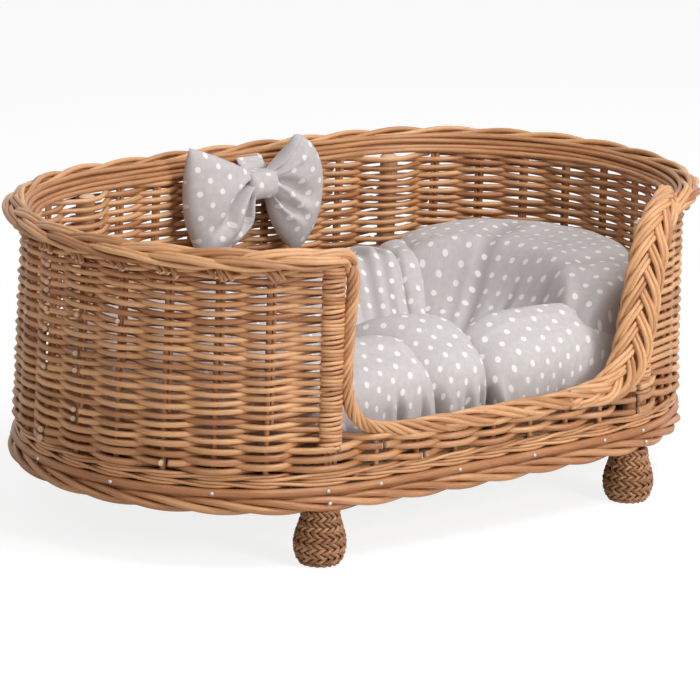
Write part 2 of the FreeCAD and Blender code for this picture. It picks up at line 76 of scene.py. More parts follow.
half_length = board_high.x + STAKE_TO_BOARD
half_width = board_high.y + STAKE_TO_BOARD
board_top = board_high.z
rim_height = (border_low.z + border_high.z) / 2
side_radius = (half_length**2 + half_width**2 - 2 * half_length * END_RADIUS) / (
    2 * (half_width - END_RADIUS)
)
end_centre = half_length - END_RADIUS
side_centre = side_radius - half_width
join_angle = math.atan2(end_centre, side_centre)
side_run = side_radius * join_angle
quarter = side_run + END_RADIUS * (math.pi / 2 - join_angle)
around = 4 * quarter


def plan(s):
    """Points and outward normals along the wall, from the middle of its front, counter-clockwise."""
    s = np.mod(np.atleast_1d(np.asarray(s, float)), around)
    left = s > around / 2
    s = np.where(left, around - s, s)
    back = s > quarter
    s = np.where(back, around / 2 - s, s)
    flat = s < side_run
    angle = np.where(flat, s / side_radius, join_angle + (s - side_run) / END_RADIUS)
    normal = np.stack([np.sin(angle), -np.cos(angle), np.zeros_like(s)], 1)
    middle = np.stack([np.where(flat, 0, end_centre), np.where(flat, side_centre, 0), 0 * s], 1)
    point = middle + normal * np.where(flat, side_radius, END_RADIUS)[:, None]
    turn = np.stack([np.where(left, -1, 1), np.where(back, -1, 1), np.ones_like(s)], 1)
    return point * turn, normal * turn


def sideways(normal):
    """Directions along the wall at its outward normals."""
    return np.stack([-normal[:, 1], normal[:, 0], 0 * normal[:, 0]], 1)


def along_wall(s):
    """Direction along the wall at one place."""
    return sideways(plan(s)[1])[0]


def lean(z):
    """How far the wall leans in at height z."""
    return WALL_LEAN * (z - board_top) / (rim_height - board_top)


def on_wall(s, out, z, aside=0):
    """Points out from the leaning line of stakes, at heights z, straight aside of s."""
    s, out, z, aside = np.broadcast_arrays(*(np.asarray(v, float) for v in (s, out, z, aside)))
    point, normal = plan(s.ravel())
    out, z, aside = out.ravel(), z.ravel(), aside.ravel()
    point = point + normal * (out - lean(z))[:, None] + sideways(normal) * aside[:, None]
    point[:, 2] = z
    return point


POSTS = {
    "front_right": POST_PLACE,
    "back_right": around / 2 - POST_PLACE,
    "back_left": around / 2 + POST_PLACE,
    "front_left": around - POST_PLACE,
}


def place_uprights():
    """Place along the wall of every upright from the front right post round, and if it is a post."""
    places = [*POSTS.values(), around + POST_PLACE]
    found = []
    for start, end, count in zip(places, places[1:], (END_STAKES, BACK_STAKES, END_STAKES, SILL_STAKES)):
        gap = (end - start) / (count - 1 + 2 * POST_GAP)
        found.append((start, True))
        found += [(start + gap * (POST_GAP + k), False) for k in range(count)]
    return found


UPRIGHTS = place_uprights()
SIDE_UPRIGHTS = UPRIGHTS[: len(UPRIGHTS) - SILL_STAKES]


# ---------------------------------------------------------------------------
# Rods: many round willow rods gathered into one mesh.
# ---------------------------------------------------------------------------
class Rods:
    """Collects rods. Each vertex keeps its rod's tone, its place along and round it, and cut ends."""

    def __init__(self, sides=8):
        self.sides = sides
        self.points, self.faces = [], []
        self.tone, self.along, self.girth, self.cut = [], [], [], []
        self.count = 0

    def add(self, line, radius, up=(0, 0, 1), tone=None, closed=False, swell=0.05):
        """One rod along a line of points. up is any direction across it; swell its unevenness."""
        line = np.asarray(line, float)
        count = len(line)
        if closed:
            run = np.roll(line, -1, 0) - np.roll(line, 1, 0)
        else:
            run = np.gradient(line, axis=0)
        run /= np.linalg.norm(run, axis=1, keepdims=True)
        up = np.broadcast_to(np.asarray(up, float), line.shape)
        across = np.cross(run, up)
        across /= np.linalg.norm(across, axis=1, keepdims=True)
        over = np.cross(across, run)
        step = np.linalg.norm(np.diff(line, axis=0), axis=1)
        along = np.concatenate([[0], np.cumsum(step)])
        radius = np.broadcast_to(np.asarray(radius, float), (count,))
        wave = sum(np.sin(along / pitch + chance.uniform(0, 6)) for pitch in (61 * MM, 23 * MM))
        if not closed:
            radius = radius * (1 + swell * 0.5 * wave)
        turn = 2 * math.pi * np.arange(self.sides) / self.sides
        ring = (
            across[:, None] * np.cos(turn)[None, :, None] + over[:, None] * np.sin(turn)[None, :, None]
        )
        skin = line[:, None] + ring * radius[:, None, None]
        tone = chance.uniform(0, 1) if tone is None else tone
        first = self.count
        self._keep(skin.reshape(-1, 3), tone, np.repeat(along, self.sides), np.tile(turn, count), 0)
        self.faces.append(first + skin_faces(count, self.sides, end_to_end=closed))
        if not closed:
            self._cap(line[0], -run[0], skin[0], radius[0], tone, along[0], turn, False)
            self._cap(line[-1], run[-1], skin[-1], radius[-1], tone, along[-1], turn, True)

    def _cap(self, middle, way, edge, radius, tone, along, turn, last):
        """A cut end: a paler face, softened at its rim."""
        first = self.count
        inner = middle + (edge - middle) * 0.72 + way * radius * 0.22
        ring = np.concatenate([edge, inner, [middle + way * radius * 0.25]])
        self._keep(ring, tone, np.full(len(ring), along), np.concatenate([turn, turn, [0]]), 1)
        j = np.arange(self.sides)
        n = (j + 1) % self.sides
        rim = np.stack([first + j, first + n, first + self.sides + n, first + self.sides + j], 1)
        top = first + 2 * self.sides
        lid = np.stack([first + self.sides + j, first + self.sides + n, np.full_like(j, top)], 1)
        for block in (rim, lid):
            self.faces.append(block if last else block[:, ::-1])

    def _keep(self, points, tone, along, turn, cut):
        self.points.append(points)
        self.tone.append(np.full(len(points), tone))
        self.along.append(along)
        self.girth.append(turn)
        self.cut.append(np.full(len(points), float(cut)))
        self.count += len(points)

    def build(self, name, material, body, slot, *nodes):
        """Makes one piece of all the rods, in place of the nodes."""
        marks = {
            "rod_tone": np.concatenate(self.tone),
            "rod_along": np.concatenate(self.along),
            "rod_girth": np.concatenate(self.girth),
            "cut_end": np.concatenate(self.cut),
        }
        piece = make_mesh(name, np.concatenate(self.points), self.faces, marks)
        return finish_piece(piece, material, body, slot, *nodes)


def skin_faces(rows, columns, end_to_end=False, side_to_side=True, flip=False):
    """Four-sided faces over a grid of points counted row by row, closed on itself where asked."""
    i, j = np.meshgrid(
        np.arange(rows if end_to_end else rows - 1),
        np.arange(columns if side_to_side else columns - 1),
        indexing="ij",
    )
    row, next_row = i * columns, (i + 1) % rows * columns
    after = (j + 1) % columns
    corners = [row + j, row + after, next_row + after, next_row + j]
    if flip:
        corners = corners[:1] + corners[:0:-1]
    return np.stack(corners, 2).reshape(-1, 4)


def make_mesh(name, points, face_blocks, marks):
    """Mesh object from arrays, smooth, with a float or vector mark on each vertex."""
    mesh = bpy.data.meshes.new(name)
    mesh.vertices.add(len(points))
    mesh.vertices.foreach_set("co", np.asarray(points, np.float32).ravel())
    sizes = np.concatenate([np.full(len(block), block.shape[1]) for block in face_blocks])
    corners = np.concatenate([block.ravel() for block in face_blocks]).astype(np.int32)
    mesh.loops.add(len(corners))
    mesh.loops.foreach_set("vertex_index", corners)
    mesh.polygons.add(len(sizes))
    starts = np.concatenate([[0], np.cumsum(sizes)[:-1]]).astype(np.int32)
    mesh.polygons.foreach_set("loop_start", starts)
    mesh.polygons.foreach_set("use_smooth", np.ones(len(sizes), bool))
    mesh.update(calc_edges=True)
    mesh.validate()
    for mark, values in marks.items():
        values = np.asarray(values, np.float32)
        kind = "FLOAT" if values.ndim == 1 else "FLOAT_VECTOR"
        layer = mesh.attributes.new(mark, kind, "POINT")
        layer.data.foreach_set("value" if kind == "FLOAT" else "vector", values.ravel())
    piece = bpy.data.objects.new(name, mesh)
    bpy.context.scene.collection.objects.link(piece)
    return piece


def finish_piece(piece, material, body, slot, *nodes):
    """Gives a piece its material and the body that it rides on, and hides the nodes it stands for. slot
    is not used.
    """
    piece.data.materials.append(material)
    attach(piece, body)
    if nodes:
        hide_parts(*nodes)
    return piece


# ---------------------------------------------------------------------------
# Materials.
# ---------------------------------------------------------------------------
def colour(hex_code):
    """Linear colour from an sRGB hex value."""
    parts = [int(hex_code[k : k + 2], 16) / 255 for k in (1, 3, 5)]
    return [c / 12.92 if c <= 0.04045 else ((c + 0.055) / 1.055) ** 2.4 for c in parts] + [1.0]


def feed(tree, node, inputs):
    """Sets a node's inputs, each to a value or by a link from a socket."""
    for key, value in inputs.items():
        if isinstance(value, bpy.types.NodeSocket):
            tree.links.new(value, node.inputs[key])
        else:
            node.inputs[key].default_value = value


def add(tree, kind, inputs=None, **settings):
    """Adds a shader node with its settings and what feeds its inputs."""
    made = tree.nodes.new("ShaderNode" + kind)
    for key, value in settings.items():
        setattr(made, key, value)
    feed(tree, made, inputs or {})
    return made


def new_material(name):
    """A material with one plain shader, its node tree and that shader."""
    material = bpy.data.materials.new(name)
    material.use_nodes = True
    tree = material.node_tree
    tree.nodes.clear()
    shader = add(tree, "BsdfPrincipled")
    add(tree, "OutputMaterial", {"Surface": shader.outputs[0]})
    return material, tree, shader


def peeled_willow(name, pale, mid, deep, roughness=0.42):
    """Buff willow, boiled in its bark and stripped: satin skin, streaked along the rod.

    Each rod has its own tone, the bark's stain comes and goes along it, and cut ends show pale pith."""
    material, tree, shader = new_material(name)
    tone = add(tree, "Attribute", attribute_name="rod_tone").outputs["Fac"]
    along = add(tree, "Attribute", attribute_name="rod_along").outputs["Fac"]
    girth = add(tree, "Attribute", attribute_name="rod_girth").outputs["Fac"]
    cut = add(tree, "Attribute", attribute_name="cut_end").outputs["Fac"]
    sine = add(tree, "Math", {0: girth}, operation="SINE").outputs[0]
    cosine = add(tree, "Math", {0: girth}, operation="COSINE").outputs[0]
    far = add(tree, "Math", {0: tone, 1: 37.0}, operation="MULTIPLY").outputs[0]
    run = add(tree, "Math", {0: along, 1: 22.0, 2: far}, operation="MULTIPLY_ADD").outputs[0]
    skin = add(tree, "CombineXYZ", {0: run, 1: sine, 2: cosine}).outputs[0]
    # Stain that comes and goes every 50 mm or so, and streaks about 15 mm long.
    patch = add(tree, "TexNoise", {"Vector": skin, "Scale": 0.9, "Detail": 3.0}).outputs["Fac"]
    streak_at = add(tree, "VectorMath", {0: skin, 1: (1.4, 2.6, 2.6)}, operation="MULTIPLY").outputs[0]
    streak = add(tree, "TexNoise", {"Vector": streak_at, "Scale": 2.2, "Detail": 5.0}).outputs["Fac"]
    blend = add(tree, "Math", {0: tone, 1: 0.95, 2: -0.42}, operation="MULTIPLY_ADD").outputs[0]
    blend = add(tree, "Math", {0: patch, 1: 1.15, 2: blend}, operation="MULTIPLY_ADD").outputs[0]
    blend = add(tree, "MapRange", {0: blend, 1: 0.12, 2: 0.95}).outputs[0]
    base = add(tree, "Mix", {0: blend, 6: colour(mid), 7: colour(pale)}, data_type="RGBA").outputs[2]
    dark = add(tree, "MapRange", {0: streak, 1: 0.56, 2: 0.74, 4: 0.75}).outputs[0]
    base = add(tree, "Mix", {0: dark, 6: base, 7: colour(deep)}, data_type="RGBA").outputs[2]
    # Small dark buds about 28 mm apart, where side shoots were rubbed off.
    bud_at = add(tree, "VectorMath", {0: skin, 1: (1.0, 0.5, 0.5)}, operation="MULTIPLY").outputs[0]
    bud = add(tree, "TexVoronoi", {"Vector": bud_at, "Scale": 1.6}).outputs["Distance"]
    bud = add(tree, "MapRange", {0: bud, 1: 0.05, 2: 0.11, 3: 0.7, 4: 0.0}).outputs[0]
    base = add(tree, "Mix", {0: bud, 6: base, 7: colour("#6E4426")}, data_type="RGBA").outputs[2]
    pith = add(tree, "Math", {0: cut, 1: 0.6}, operation="MULTIPLY").outputs[0]
    base = add(tree, "Mix", {0: pith, 6: base, 7: colour("#E3CDB0")}, data_type="RGBA").outputs[2]
    grain = add(tree, "Bump", {"Height": streak, "Strength": 0.35, "Distance": 0.0006}).outputs[0]
    feed(tree, shader, {"Base Color": base, "Normal": grain, "Roughness": roughness, "IOR": 1.5})
    feed(tree, shader, {"Coat Weight": 0.12, "Coat Roughness": 0.35})
    return material


def printed_cotton():
    """Plain-woven cotton with white dots printed on warm grey: matt, with a faint thread texture.

    cloth_at holds the place on the flat cloth and, third, how much painted shade the cloth gets, deep in
    a tuck."""
    cell, dot_radius = 25 * MM, 3.0 * MM
    material, tree, shader = new_material("printed_cotton")
    at = add(tree, "Attribute", attribute_name="cloth_at").outputs["Vector"]
    nearest = None
    for shift in (0.0, 0.5):
        scaled = add(
            tree,
            "VectorMath",
            {0: at, 1: (1 / cell, 1 / cell, 0), 2: (shift + 40, shift + 40, 0)},
            operation="MULTIPLY_ADD",
        ).outputs[0]
        within = add(tree, "VectorMath", {0: scaled}, operation="FRACTION").outputs[0]
        centred = add(tree, "VectorMath", {0: within, 1: (0.5, 0.5, 0)}, operation="SUBTRACT").outputs[0]
        reach = add(tree, "VectorMath", {0: centred}, operation="LENGTH").outputs["Value"]
        if nearest is None:
            nearest = reach
        else:
            nearest = add(tree, "Math", {0: nearest, 1: reach}, operation="MINIMUM").outputs[0]
    # The print's edge bleeds a little into the threads.
    edge = add(tree, "TexNoise", {"Vector": at, "Scale": 900.0, "Detail": 2.0}).outputs["Fac"]
    reach = add(tree, "Math", {0: edge, 1: 0.03, 2: nearest}, operation="MULTIPLY_ADD").outputs[0]
    limit = dot_radius / cell
    ink = add(tree, "MapRange", {0: reach, 1: limit, 2: limit + 0.03, 3: 1.0, 4: 0.0}).outputs[0]
    # Threads every 0.4 mm are drawn as bands 1.2 mm apart, three times as coarse, so that they show.
    threads = []
    for axis in "XY":
        wave = add(
            tree,
            "TexWave",
            {"Vector": at, "Scale": 260.0, "Distortion": 1.2, "Detail": 2.0, "Detail Scale": 2.0},
            bands_direction=axis,
        )
        threads.append(wave.outputs["Fac"])
    weave = add(tree, "Math", {0: threads[0], 1: threads[1]}, operation="ADD").outputs[0]
    heather = add(tree, "TexNoise", {"Vector": at, "Scale": 160.0, "Detail": 6.0}).outputs["Fac"]
    shade = add(tree, "MapRange", {0: heather, 1: 0.3, 2: 0.7}).outputs[0]
    dyed = {0: shade, 6: colour("#C3BDBD"), 7: colour("#CEC8C7")}
    cloth = add(tree, "Mix", dyed, data_type="RGBA").outputs[2]
    # Painted shade: the cloth is darkened towards a dark grey where it lies deep in a tuck, where little
    # light gets down.
    tuck = add(tree, "SeparateXYZ", {"Vector": at}).outputs["Z"]
    deep = add(tree, "Math", {0: tuck, 1: 0.6}, operation="MULTIPLY").outputs[0]
    cloth = add(tree, "Mix", {0: deep, 6: cloth, 7: colour("#6E6765")}, data_type="RGBA").outputs[2]
    face = add(tree, "Mix", {0: ink, 6: cloth, 7: colour("#EFECE9")}, data_type="RGBA").outputs[2]
    bump = add(tree, "Bump", {"Height": weave, "Strength": 0.12, "Distance": 0.0004}).outputs[0]
    feed(tree, shader, {"Base Color": face, "Normal": bump, "Roughness": 0.9})
    feed(tree, shader, {"Specular IOR Level": 0.25, "Sheen Weight": 0.18, "Sheen Roughness": 0.5})
    return material


def dark_underside_cloth():
    """Dark grey cloth on the cushion's lowest faces: matt and slightly felted."""
    material, tree, shader = new_material("dark_underside_felt")
    spot = add(tree, "TexCoord").outputs["Object"]
    felt = add(tree, "TexNoise", {"Vector": spot, "Scale": 700.0, "Detail": 6.0}).outputs["Fac"]
    tint = add(tree, "Mix", {0: felt, 6: colour("#3B3F3C"), 7: colour("#565B57")}, data_type="RGBA")
    bump = add(tree, "Bump", {"Height": felt, "Strength": 0.3, "Distance": 0.0005}).outputs[0]
    feed(tree, shader, {"Base Color": tint.outputs[2], "Normal": bump, "Roughness": 0.95})
    return material


def raw_chipboard():
    """Raw chipboard: flat chips of many sizes, pressed with resin, pale on the face."""
    material, tree, shader = new_material("raw_chipboard")
    spot = add(tree, "TexCoord").outputs["Object"]
    chips = add(tree, "TexVoronoi", {"Vector": spot, "Scale": 420.0, "Randomness": 1.0})
    fines = add(tree, "TexNoise", {"Vector": spot, "Scale": 900.0, "Detail": 5.0}).outputs["Fac"]
    level = add(tree, "Math", {0: chips.outputs["Distance"], 1: fines}, operation="ADD").outputs[0]
    level = add(tree, "MapRange", {0: level, 1: 0.45, 2: 1.15}).outputs[0]
    tint = add(tree, "Mix", {0: level, 6: colour("#C9B48F"), 7: colour("#7D684A")}, data_type="RGBA")
    bump = add(tree, "Bump", {"Height": level, "Strength": 0.4, "Distance": 0.0005}).outputs[0]
    feed(tree, shader, {"Base Color": tint.outputs[2], "Normal": bump, "Roughness": 0.85})
    return material


def bright_nail():
    """Zinc-plated steel nail: pale, slightly dulled metal."""
    material, tree, shader = new_material("zinc_plated_nail")
    spot = add(tree, "TexCoord").outputs["Object"]
    dull = add(tree, "TexNoise", {"Vector": spot, "Scale": 1500.0, "Detail": 3.0}).outputs["Fac"]
    rough = add(tree, "MapRange", {0: dull, 3: 0.3, 4: 0.55}).outputs[0]
    tint = add(tree, "Mix", {0: dull, 6: colour("#A9A8A4"), 7: colour("#D3D1CB")}, data_type="RGBA")
    feed(tree, shader, {"Base Color": tint.outputs[2], "Roughness": rough, "Metallic": 1.0})
    return material


BUFF = peeled_willow("buff_willow", "#E0AA78", "#A66C40", "#744527")
STICK = peeled_willow("peeled_willow_stick", "#D9B083", "#B98A58", "#8F6238", 0.5)
FOOT_WILLOW = peeled_willow("brown_willow", "#B4835A", "#80532F", "#4E301B", 0.55)
COTTON = printed_cotton()
DARK_UNDERSIDE = dark_underside_cloth()
CHIPBOARD = raw_chipboard()
NAIL = bright_nail()


# ---------------------------------------------------------------------------
# The woven wall.
# ---------------------------------------------------------------------------
ROD_PITCH_LOW, ROD_PITCH_HIGH = 4.6 * MM, 4.2 * MM
ROD_LOW, ROD_HIGH = 2.95 * MM, 2.8 * MM
BEND_STEPS = 7
EDGE_LEFT, EDGE_RIGHT = 195.6 * MM, 205 * MM
POST_TOP = 280 * MM
WALL_TOP = 288 * MM


def ease(t, start, end):
    """Rises smoothly from 0 at start to 1 at end."""
    share = np.clip((t - start) / (end - start), 0, 1)
    return share * share * (3 - 2 * share)


def glide(before, after, share):
    """Values that glide from before to after, level at both."""
    return before + (after - before) * (1 - np.cos(math.pi * share)) / 2


def tone_near(tone, spread):
    """Tone of a rod in a bundle of about one tone."""
    return float(np.clip(tone + chance.normal(0, spread), 0, 1))


def smooth_run(points, count, closed=False):
    """Resamples rows of control values along a smooth curve through them."""
    points = np.asarray(points, float)
    if closed:
        knots = np.concatenate([points[-1:], points, points[:2]])
        t = np.linspace(0, len(points), count, endpoint=False)
    else:
        knots = np.concatenate([[2 * points[0] - points[1]], points, [2 * points[-1] - points[-2]]])
        t = np.linspace(0, len(points) - 1 - 1e-9, count)
    k = t.astype(int)
    f = (t - k).reshape((-1,) + (1,) * (points.ndim - 1))
    a, b, c, d = knots[k], knots[k + 1], knots[k + 2], knots[k + 3]
    return b + 0.5 * f * (c - a + f * (2 * a - 5 * b + 4 * c - d + f * (3 * (b - c) + d - a)))


def flare(z):
    """How far the top of the wall turns out under the border."""
    start = WALL_TOP - 16 * MM
    return 6 * MM * np.clip((z - start) / (WALL_TOP - start), 0, 1) ** 2


def edge_lean(z):
    """How far the wall's right edge gives way to the plait near its top."""
    return 26 * MM * ease(z, 232 * MM, 294 * MM)


def half_width_of(is_post):
    """Half of the length over which a weaver lies against an upright."""
    return POST_RADIUS * 0.5 if is_post else 1 * MM


def woven_line(uprights, k_row, radius, z, closed):
    """Line of one weaver, out in front of every other upright and in behind the ones between."""
    places, outs = [], []
    out = STAKE_RADIUS + radius + 0.35 * MM
    for k, (s, is_post) in enumerate(uprights):
        is_post = is_post and z < POST_TOP
        outside = (k + k_row) % 2 == 0
        inside = POST_MIDDLE - POST_RADIUS - radius - 0.4 * MM if is_post else -out
        half = half_width_of(is_post)
        places += [s - half, s + half]
        outs += [out if outside else inside] * 2
    if closed:
        places.append(places[0] + around)
        outs.append(outs[0])
    places, outs = np.array(places), np.array(outs)
    s_line, out_line = [], []
    for k in range(len(places) - 1):
        # The even stretches lie against an upright, and the odd ones cross to the next.
        steps = BEND_STEPS if k % 2 else 1
        share = np.arange(steps) / steps
        s_line.append(places[k] + (places[k + 1] - places[k]) * share)
        out_line.append(glide(outs[k], outs[k + 1], share))
    if not closed:
        s_line.append([places[-1]])
        out_line.append([outs[-1]])
    s_line, out_line = np.concatenate(s_line), np.concatenate(out_line)
    height = z + sway(s_line, z) + 0.45 * MM * np.sin(s_line / 0.043 + k_row * 2.1)
    return s_line, out_line + flare(height), height


def sway(s, z):
    """How far a row drifts up or down from its height z: the rows were beaten down by hand.

    Under the sill they fan out from left to right, to meet the plait's foot."""
    place = np.mod(s + around / 2, around) - around / 2
    climb = ease(place, -190 * MM, 205 * MM) * (1 - ease(place, 225 * MM, 330 * MM))
    rising = np.clip((z - closed_bottom) / (SILL_HEIGHT - closed_bottom), 0, 1)
    fan = rising * np.clip((SILL_HEIGHT + 70 * MM - z) / (70 * MM), 0, 1)
    free = np.clip((z - closed_bottom) / (20 * MM), 0, 1) * np.clip((WALL_TOP - z) / (20 * MM), 0, 1)
    turn = 2 * math.pi * s / around
    wave = np.sin(5 * turn + 40 * z) + np.sin(9 * turn - 70 * z + 1)
    return 1.1 * MM * free * wave + 9 * MM * climb * fan


def row_heights(low, high):
    """Heights of the weavers, a little further apart low down, where the rods are thicker."""
    heights = [low + ROD_LOW]
    while True:
        share = (heights[-1] - low) / (high - low)
        pitch = ROD_PITCH_LOW + (ROD_PITCH_HIGH - ROD_PITCH_LOW) * share
        if heights[-1] + pitch + ROD_HIGH > high:
            return heights
        heights.append(heights[-1] + pitch)


def weave_wall():
    """All weavers. Each row is three rods long; a rod's cut end stands out past a stake."""
    low = closed_bottom + 0.3 * MM
    high = WALL_TOP
    rods = Rods(7)
    for row, z in enumerate(row_heights(low, high)):
        share = (z - low) / (high - low)
        below_sill = z < SILL_HEIGHT - 6 * MM
        radius = 3.4 * MM if below_sill else ROD_LOW + (ROD_HIGH - ROD_LOW) * share
        uprights = UPRIGHTS if below_sill else SIDE_UPRIGHTS[1:-1]
        first = 0 if below_sill else 1
        s_line, out_line, height = woven_line(uprights, row + first, radius, z, below_sill)
        if not below_sill:
            s_line = np.concatenate([[EDGE_RIGHT + edge_lean(z)], s_line, [around - EDGE_LEFT - 5 * MM]])
            inside = POST_MIDDLE - 6 * MM
            start = radius if row % 2 else inside
            stop = inside if (len(SIDE_UPRIGHTS) + row) % 2 == 0 else radius
            out_line = np.concatenate([[start], out_line, [stop]])
            height = np.concatenate([height[:1], height, height[-1:]])
        breaks = sorted(chance.choice(np.arange(4, len(uprights) - 4), 2, replace=False))
        cuts = [0]
        for k in breaks:
            if (k + row + first) % 2:
                k += 1
            cuts.append(int(np.searchsorted(s_line, uprights[k][0] + 5 * MM)))
        cuts.append(len(s_line))
        base = chance.uniform(0.1, 0.9)
        for start, stop in zip(cuts, cuts[1:]):
            line_s, line_out, line_z = s_line[start:stop], out_line[start:stop].copy(), height[start:stop]
            if stop < len(s_line):
                line_out[-1] += 1.6 * MM
            taper = 1.06 - 0.12 * np.linspace(0, 1, len(line_s))
            rods.add(on_wall(line_s, line_out, line_z), radius * taper, tone=tone_near(base, 0.22))
    rods.build("woven_wall", BUFF, "basket", "willow", "side_weave", "lower_weave")


def wrap_wall_edges():
    """At both sides of the entrance the weavers turn back round three thin sticks, row on row."""
    rods = Rods(7)
    low = SILL_HEIGHT - 14 * MM
    high = WALL_TOP
    pitch = 4.1 * MM
    radius = 2.0 * MM
    turn = 2 * math.pi * np.arange(26) / 26
    for s, give in ((EDGE_RIGHT, 1), (around - EDGE_LEFT, 0)):
        for k in range(int((high - low) / pitch)):
            z = low + pitch * (k + 0.5)
            loop = on_wall(
                s + give * edge_lean(z),
                2.2 * MM + 5.2 * MM * np.cos(turn) * (1 + 0.03 * chance.normal()),
                z + 0.9 * MM * np.sin(turn + k),
                10.2 * MM * np.sin(turn),
            )
            rods.add(loop, radius * chance.uniform(0.94, 1.05), closed=True)
        z = np.linspace(board_low.z + 0.5 * MM, high, 8)
        for aside in (-5 * MM, 0, 5 * MM):
            stick = on_wall(s, 2 * MM, z, give * edge_lean(z) + aside)
            rods.add(stick, 2.3 * MM, up=along_wall(s), tone=0.2)
    rods.build("edge_wraps", BUFF, "basket", "willow")


def stand_stakes():
    """Stakes, each with a thinner one pushed in beside it in the upper wall."""
    rods = Rods(8)
    foot, thin = board_low.z + 0.5 * MM, 1.9 * MM
    bend = weave_top + 3 * MM
    end = side_stake_top - STAKE_RADIUS
    for s, is_post in SIDE_UPRIGHTS:
        if is_post:
            continue
        z = np.concatenate([np.linspace(foot, bend, 12), [min(bend + 2.4 * MM, end), end]])
        out = np.concatenate([np.zeros(12), [2.5 * MM, 8 * MM]])
        rods.add(on_wall(s, out, z), STAKE_RADIUS, up=along_wall(s))
        z = np.linspace(155 * MM + 30 * MM * chance.uniform(-1, 1), bend + 1 * MM, 8)
        rods.add(on_wall(s, 0, z, STAKE_RADIUS + thin), thin, up=along_wall(s))
    for s, _ in UPRIGHTS[len(SIDE_UPRIGHTS) :]:
        z = np.linspace(foot, sill_stake_top - 3 * MM, 5)
        rods.add(on_wall(s, 0, z), STAKE_RADIUS, up=along_wall(s))
    rods.build("wall_stakes", BUFF, "basket", "willow", "side_stakes", "sill_stakes")


# How far the front posts' upper parts stand along the wall from their feet.
FRONT_LEAN = {"front_left": 7 * MM, "front_right": 13 * MM}


def stand_posts():
    """The four thick peeled sticks; the feet are woven round their lower ends."""
    shaving = 2.6 * MM
    for side, s in POSTS.items():
        z = np.linspace(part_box(side + "_post")[0].z + 0.5 * MM, POST_TOP, 24)
        aside = FRONT_LEAN.get(side, 0) * ease(z, 62 * MM, 150 * MM)
        radius = POST_RADIUS * (1 + 0.015 * np.sin(z / 0.021 + s * 30))
        # Each is shaved thinner where the foot border passes in front of it.
        shaved = (z > foot_border_low.z - 1 * MM) & (z < foot_border_high.z)
        stick = Rods(20)
        stick.add(
            on_wall(s, np.where(shaved, POST_MIDDLE - shaving, POST_MIDDLE), z, aside),
            np.where(shaved, radius - shaving, radius),
            up=along_wall(s),
            tone=chance.uniform(0.4, 0.8),
            swell=0.01,
        )
        stick.build(side + "_stick", STICK, "basket", "peeled_willow", side + "_post")


def lay_waling():
    """Two courses of thin rods at the foot of the wall, each rod in front of two stakes, behind one."""
    rods = Rods(7)
    radius, rise_of_course = 1.75 * MM, 3.3 * MM
    middle = (wale_low.z + wale_high.z) / 2
    out = STAKE_RADIUS + radius + 0.3 * MM
    for way in (1, -1):
        z = middle - rise_of_course * way
        states = [(out, 1.7 * MM * way), (out + 0.3 * MM, -1.7 * MM * way), (-out, 0)]
        for strand in range(3):
            places, outs, rises = [], [], []
            for k, (s, is_post) in enumerate(UPRIGHTS):
                offset, rise = states[(k + strand) % 3]
                if is_post and offset < 0:
                    offset = POST_MIDDLE - POST_RADIUS - radius - 0.5 * MM
                half = half_width_of(is_post)
                places += [s - half, s + half]
                outs += [offset] * 2
                rises += [rise] * 2
            places.append(places[0] + around)
            outs.append(outs[0])
            rises.append(rises[0])
            fine = np.linspace(places[0], places[-1], 460, endpoint=False)
            k = np.clip(np.searchsorted(places, fine, "right") - 1, 0, len(places) - 2)
            places, outs, rises = map(np.array, (places, outs, rises))
            share = (fine - places[k]) / (places[k + 1] - places[k])
            height = z + glide(rises[k], rises[k + 1], share)
            line = on_wall(fine, glide(outs[k], outs[k + 1], share), height)
            rods.add(line, radius, tone=chance.uniform(0.2, 0.7), closed=True)
    rods.build("bottom_waling", BUFF, "basket", "willow", "bottom_wale")


def bend_hoop():
    """Smooth thick rod nailed round the board's edge."""
    rods = Rods(14)
    radius = (hoop_high.z - hoop_low.z) / 2 * math.cos(math.pi / 6)
    out = hoop_high.x - half_length - radius + lean(hoop_low.z)
    s = np.linspace(0.16, around + 0.16, 260, endpoint=False)
    # The hoop takes nearly the darkest tone as painted shade: it lies low under the bed, where little
    # light falls.
    rods.add(on_wall(s, out, (hoop_low.z + hoop_high.z) / 2), radius, tone=0.02, closed=True)
    rods.build("nailed_hoop", BUFF, "basket", "willow", "base_hoop")


def drive_nails():
    """Small flat-headed nails along the hoop, and one into each post through the foot border."""
    low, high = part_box("hoop_nails")
    z = (low.z + high.z) / 2
    out = hoop_high.x - half_length + lean(z)
    rods = Rods(12)
    stakes = [s for s, is_post in UPRIGHTS if not is_post]
    posts = [s for s, is_post in UPRIGHTS if is_post]
    head = np.array([1.9, 2.0, 1.5]) * MM
    for s in stakes[1::2] + posts:
        rods.add(on_wall(s, out + np.array([-1.2, 0.15, 0.5]) * MM, z), head, tone=0.5, swell=0)
    z = (foot_border_low.z + foot_border_high.z) / 2 + 2 * MM
    for s in posts:
        rods.add(on_wall(s, np.array([12.2, 14.0, 14.3]) * MM, z), head, tone=0.5, swell=0)
    rods.build("hoop_nail_heads", NAIL, "basket", "nail_steel", "hoop_nails")


# ---------------------------------------------------------------------------
# Borders.
# ---------------------------------------------------------------------------
def rope_offsets(angle, across, forward):
    """Where a rope's strand lies from the rope's middle."""
    return across * np.cos(angle), forward * np.sin(angle)


PLAIT_ROD, PLAIT_STEPS = 2.65 * MM, 90


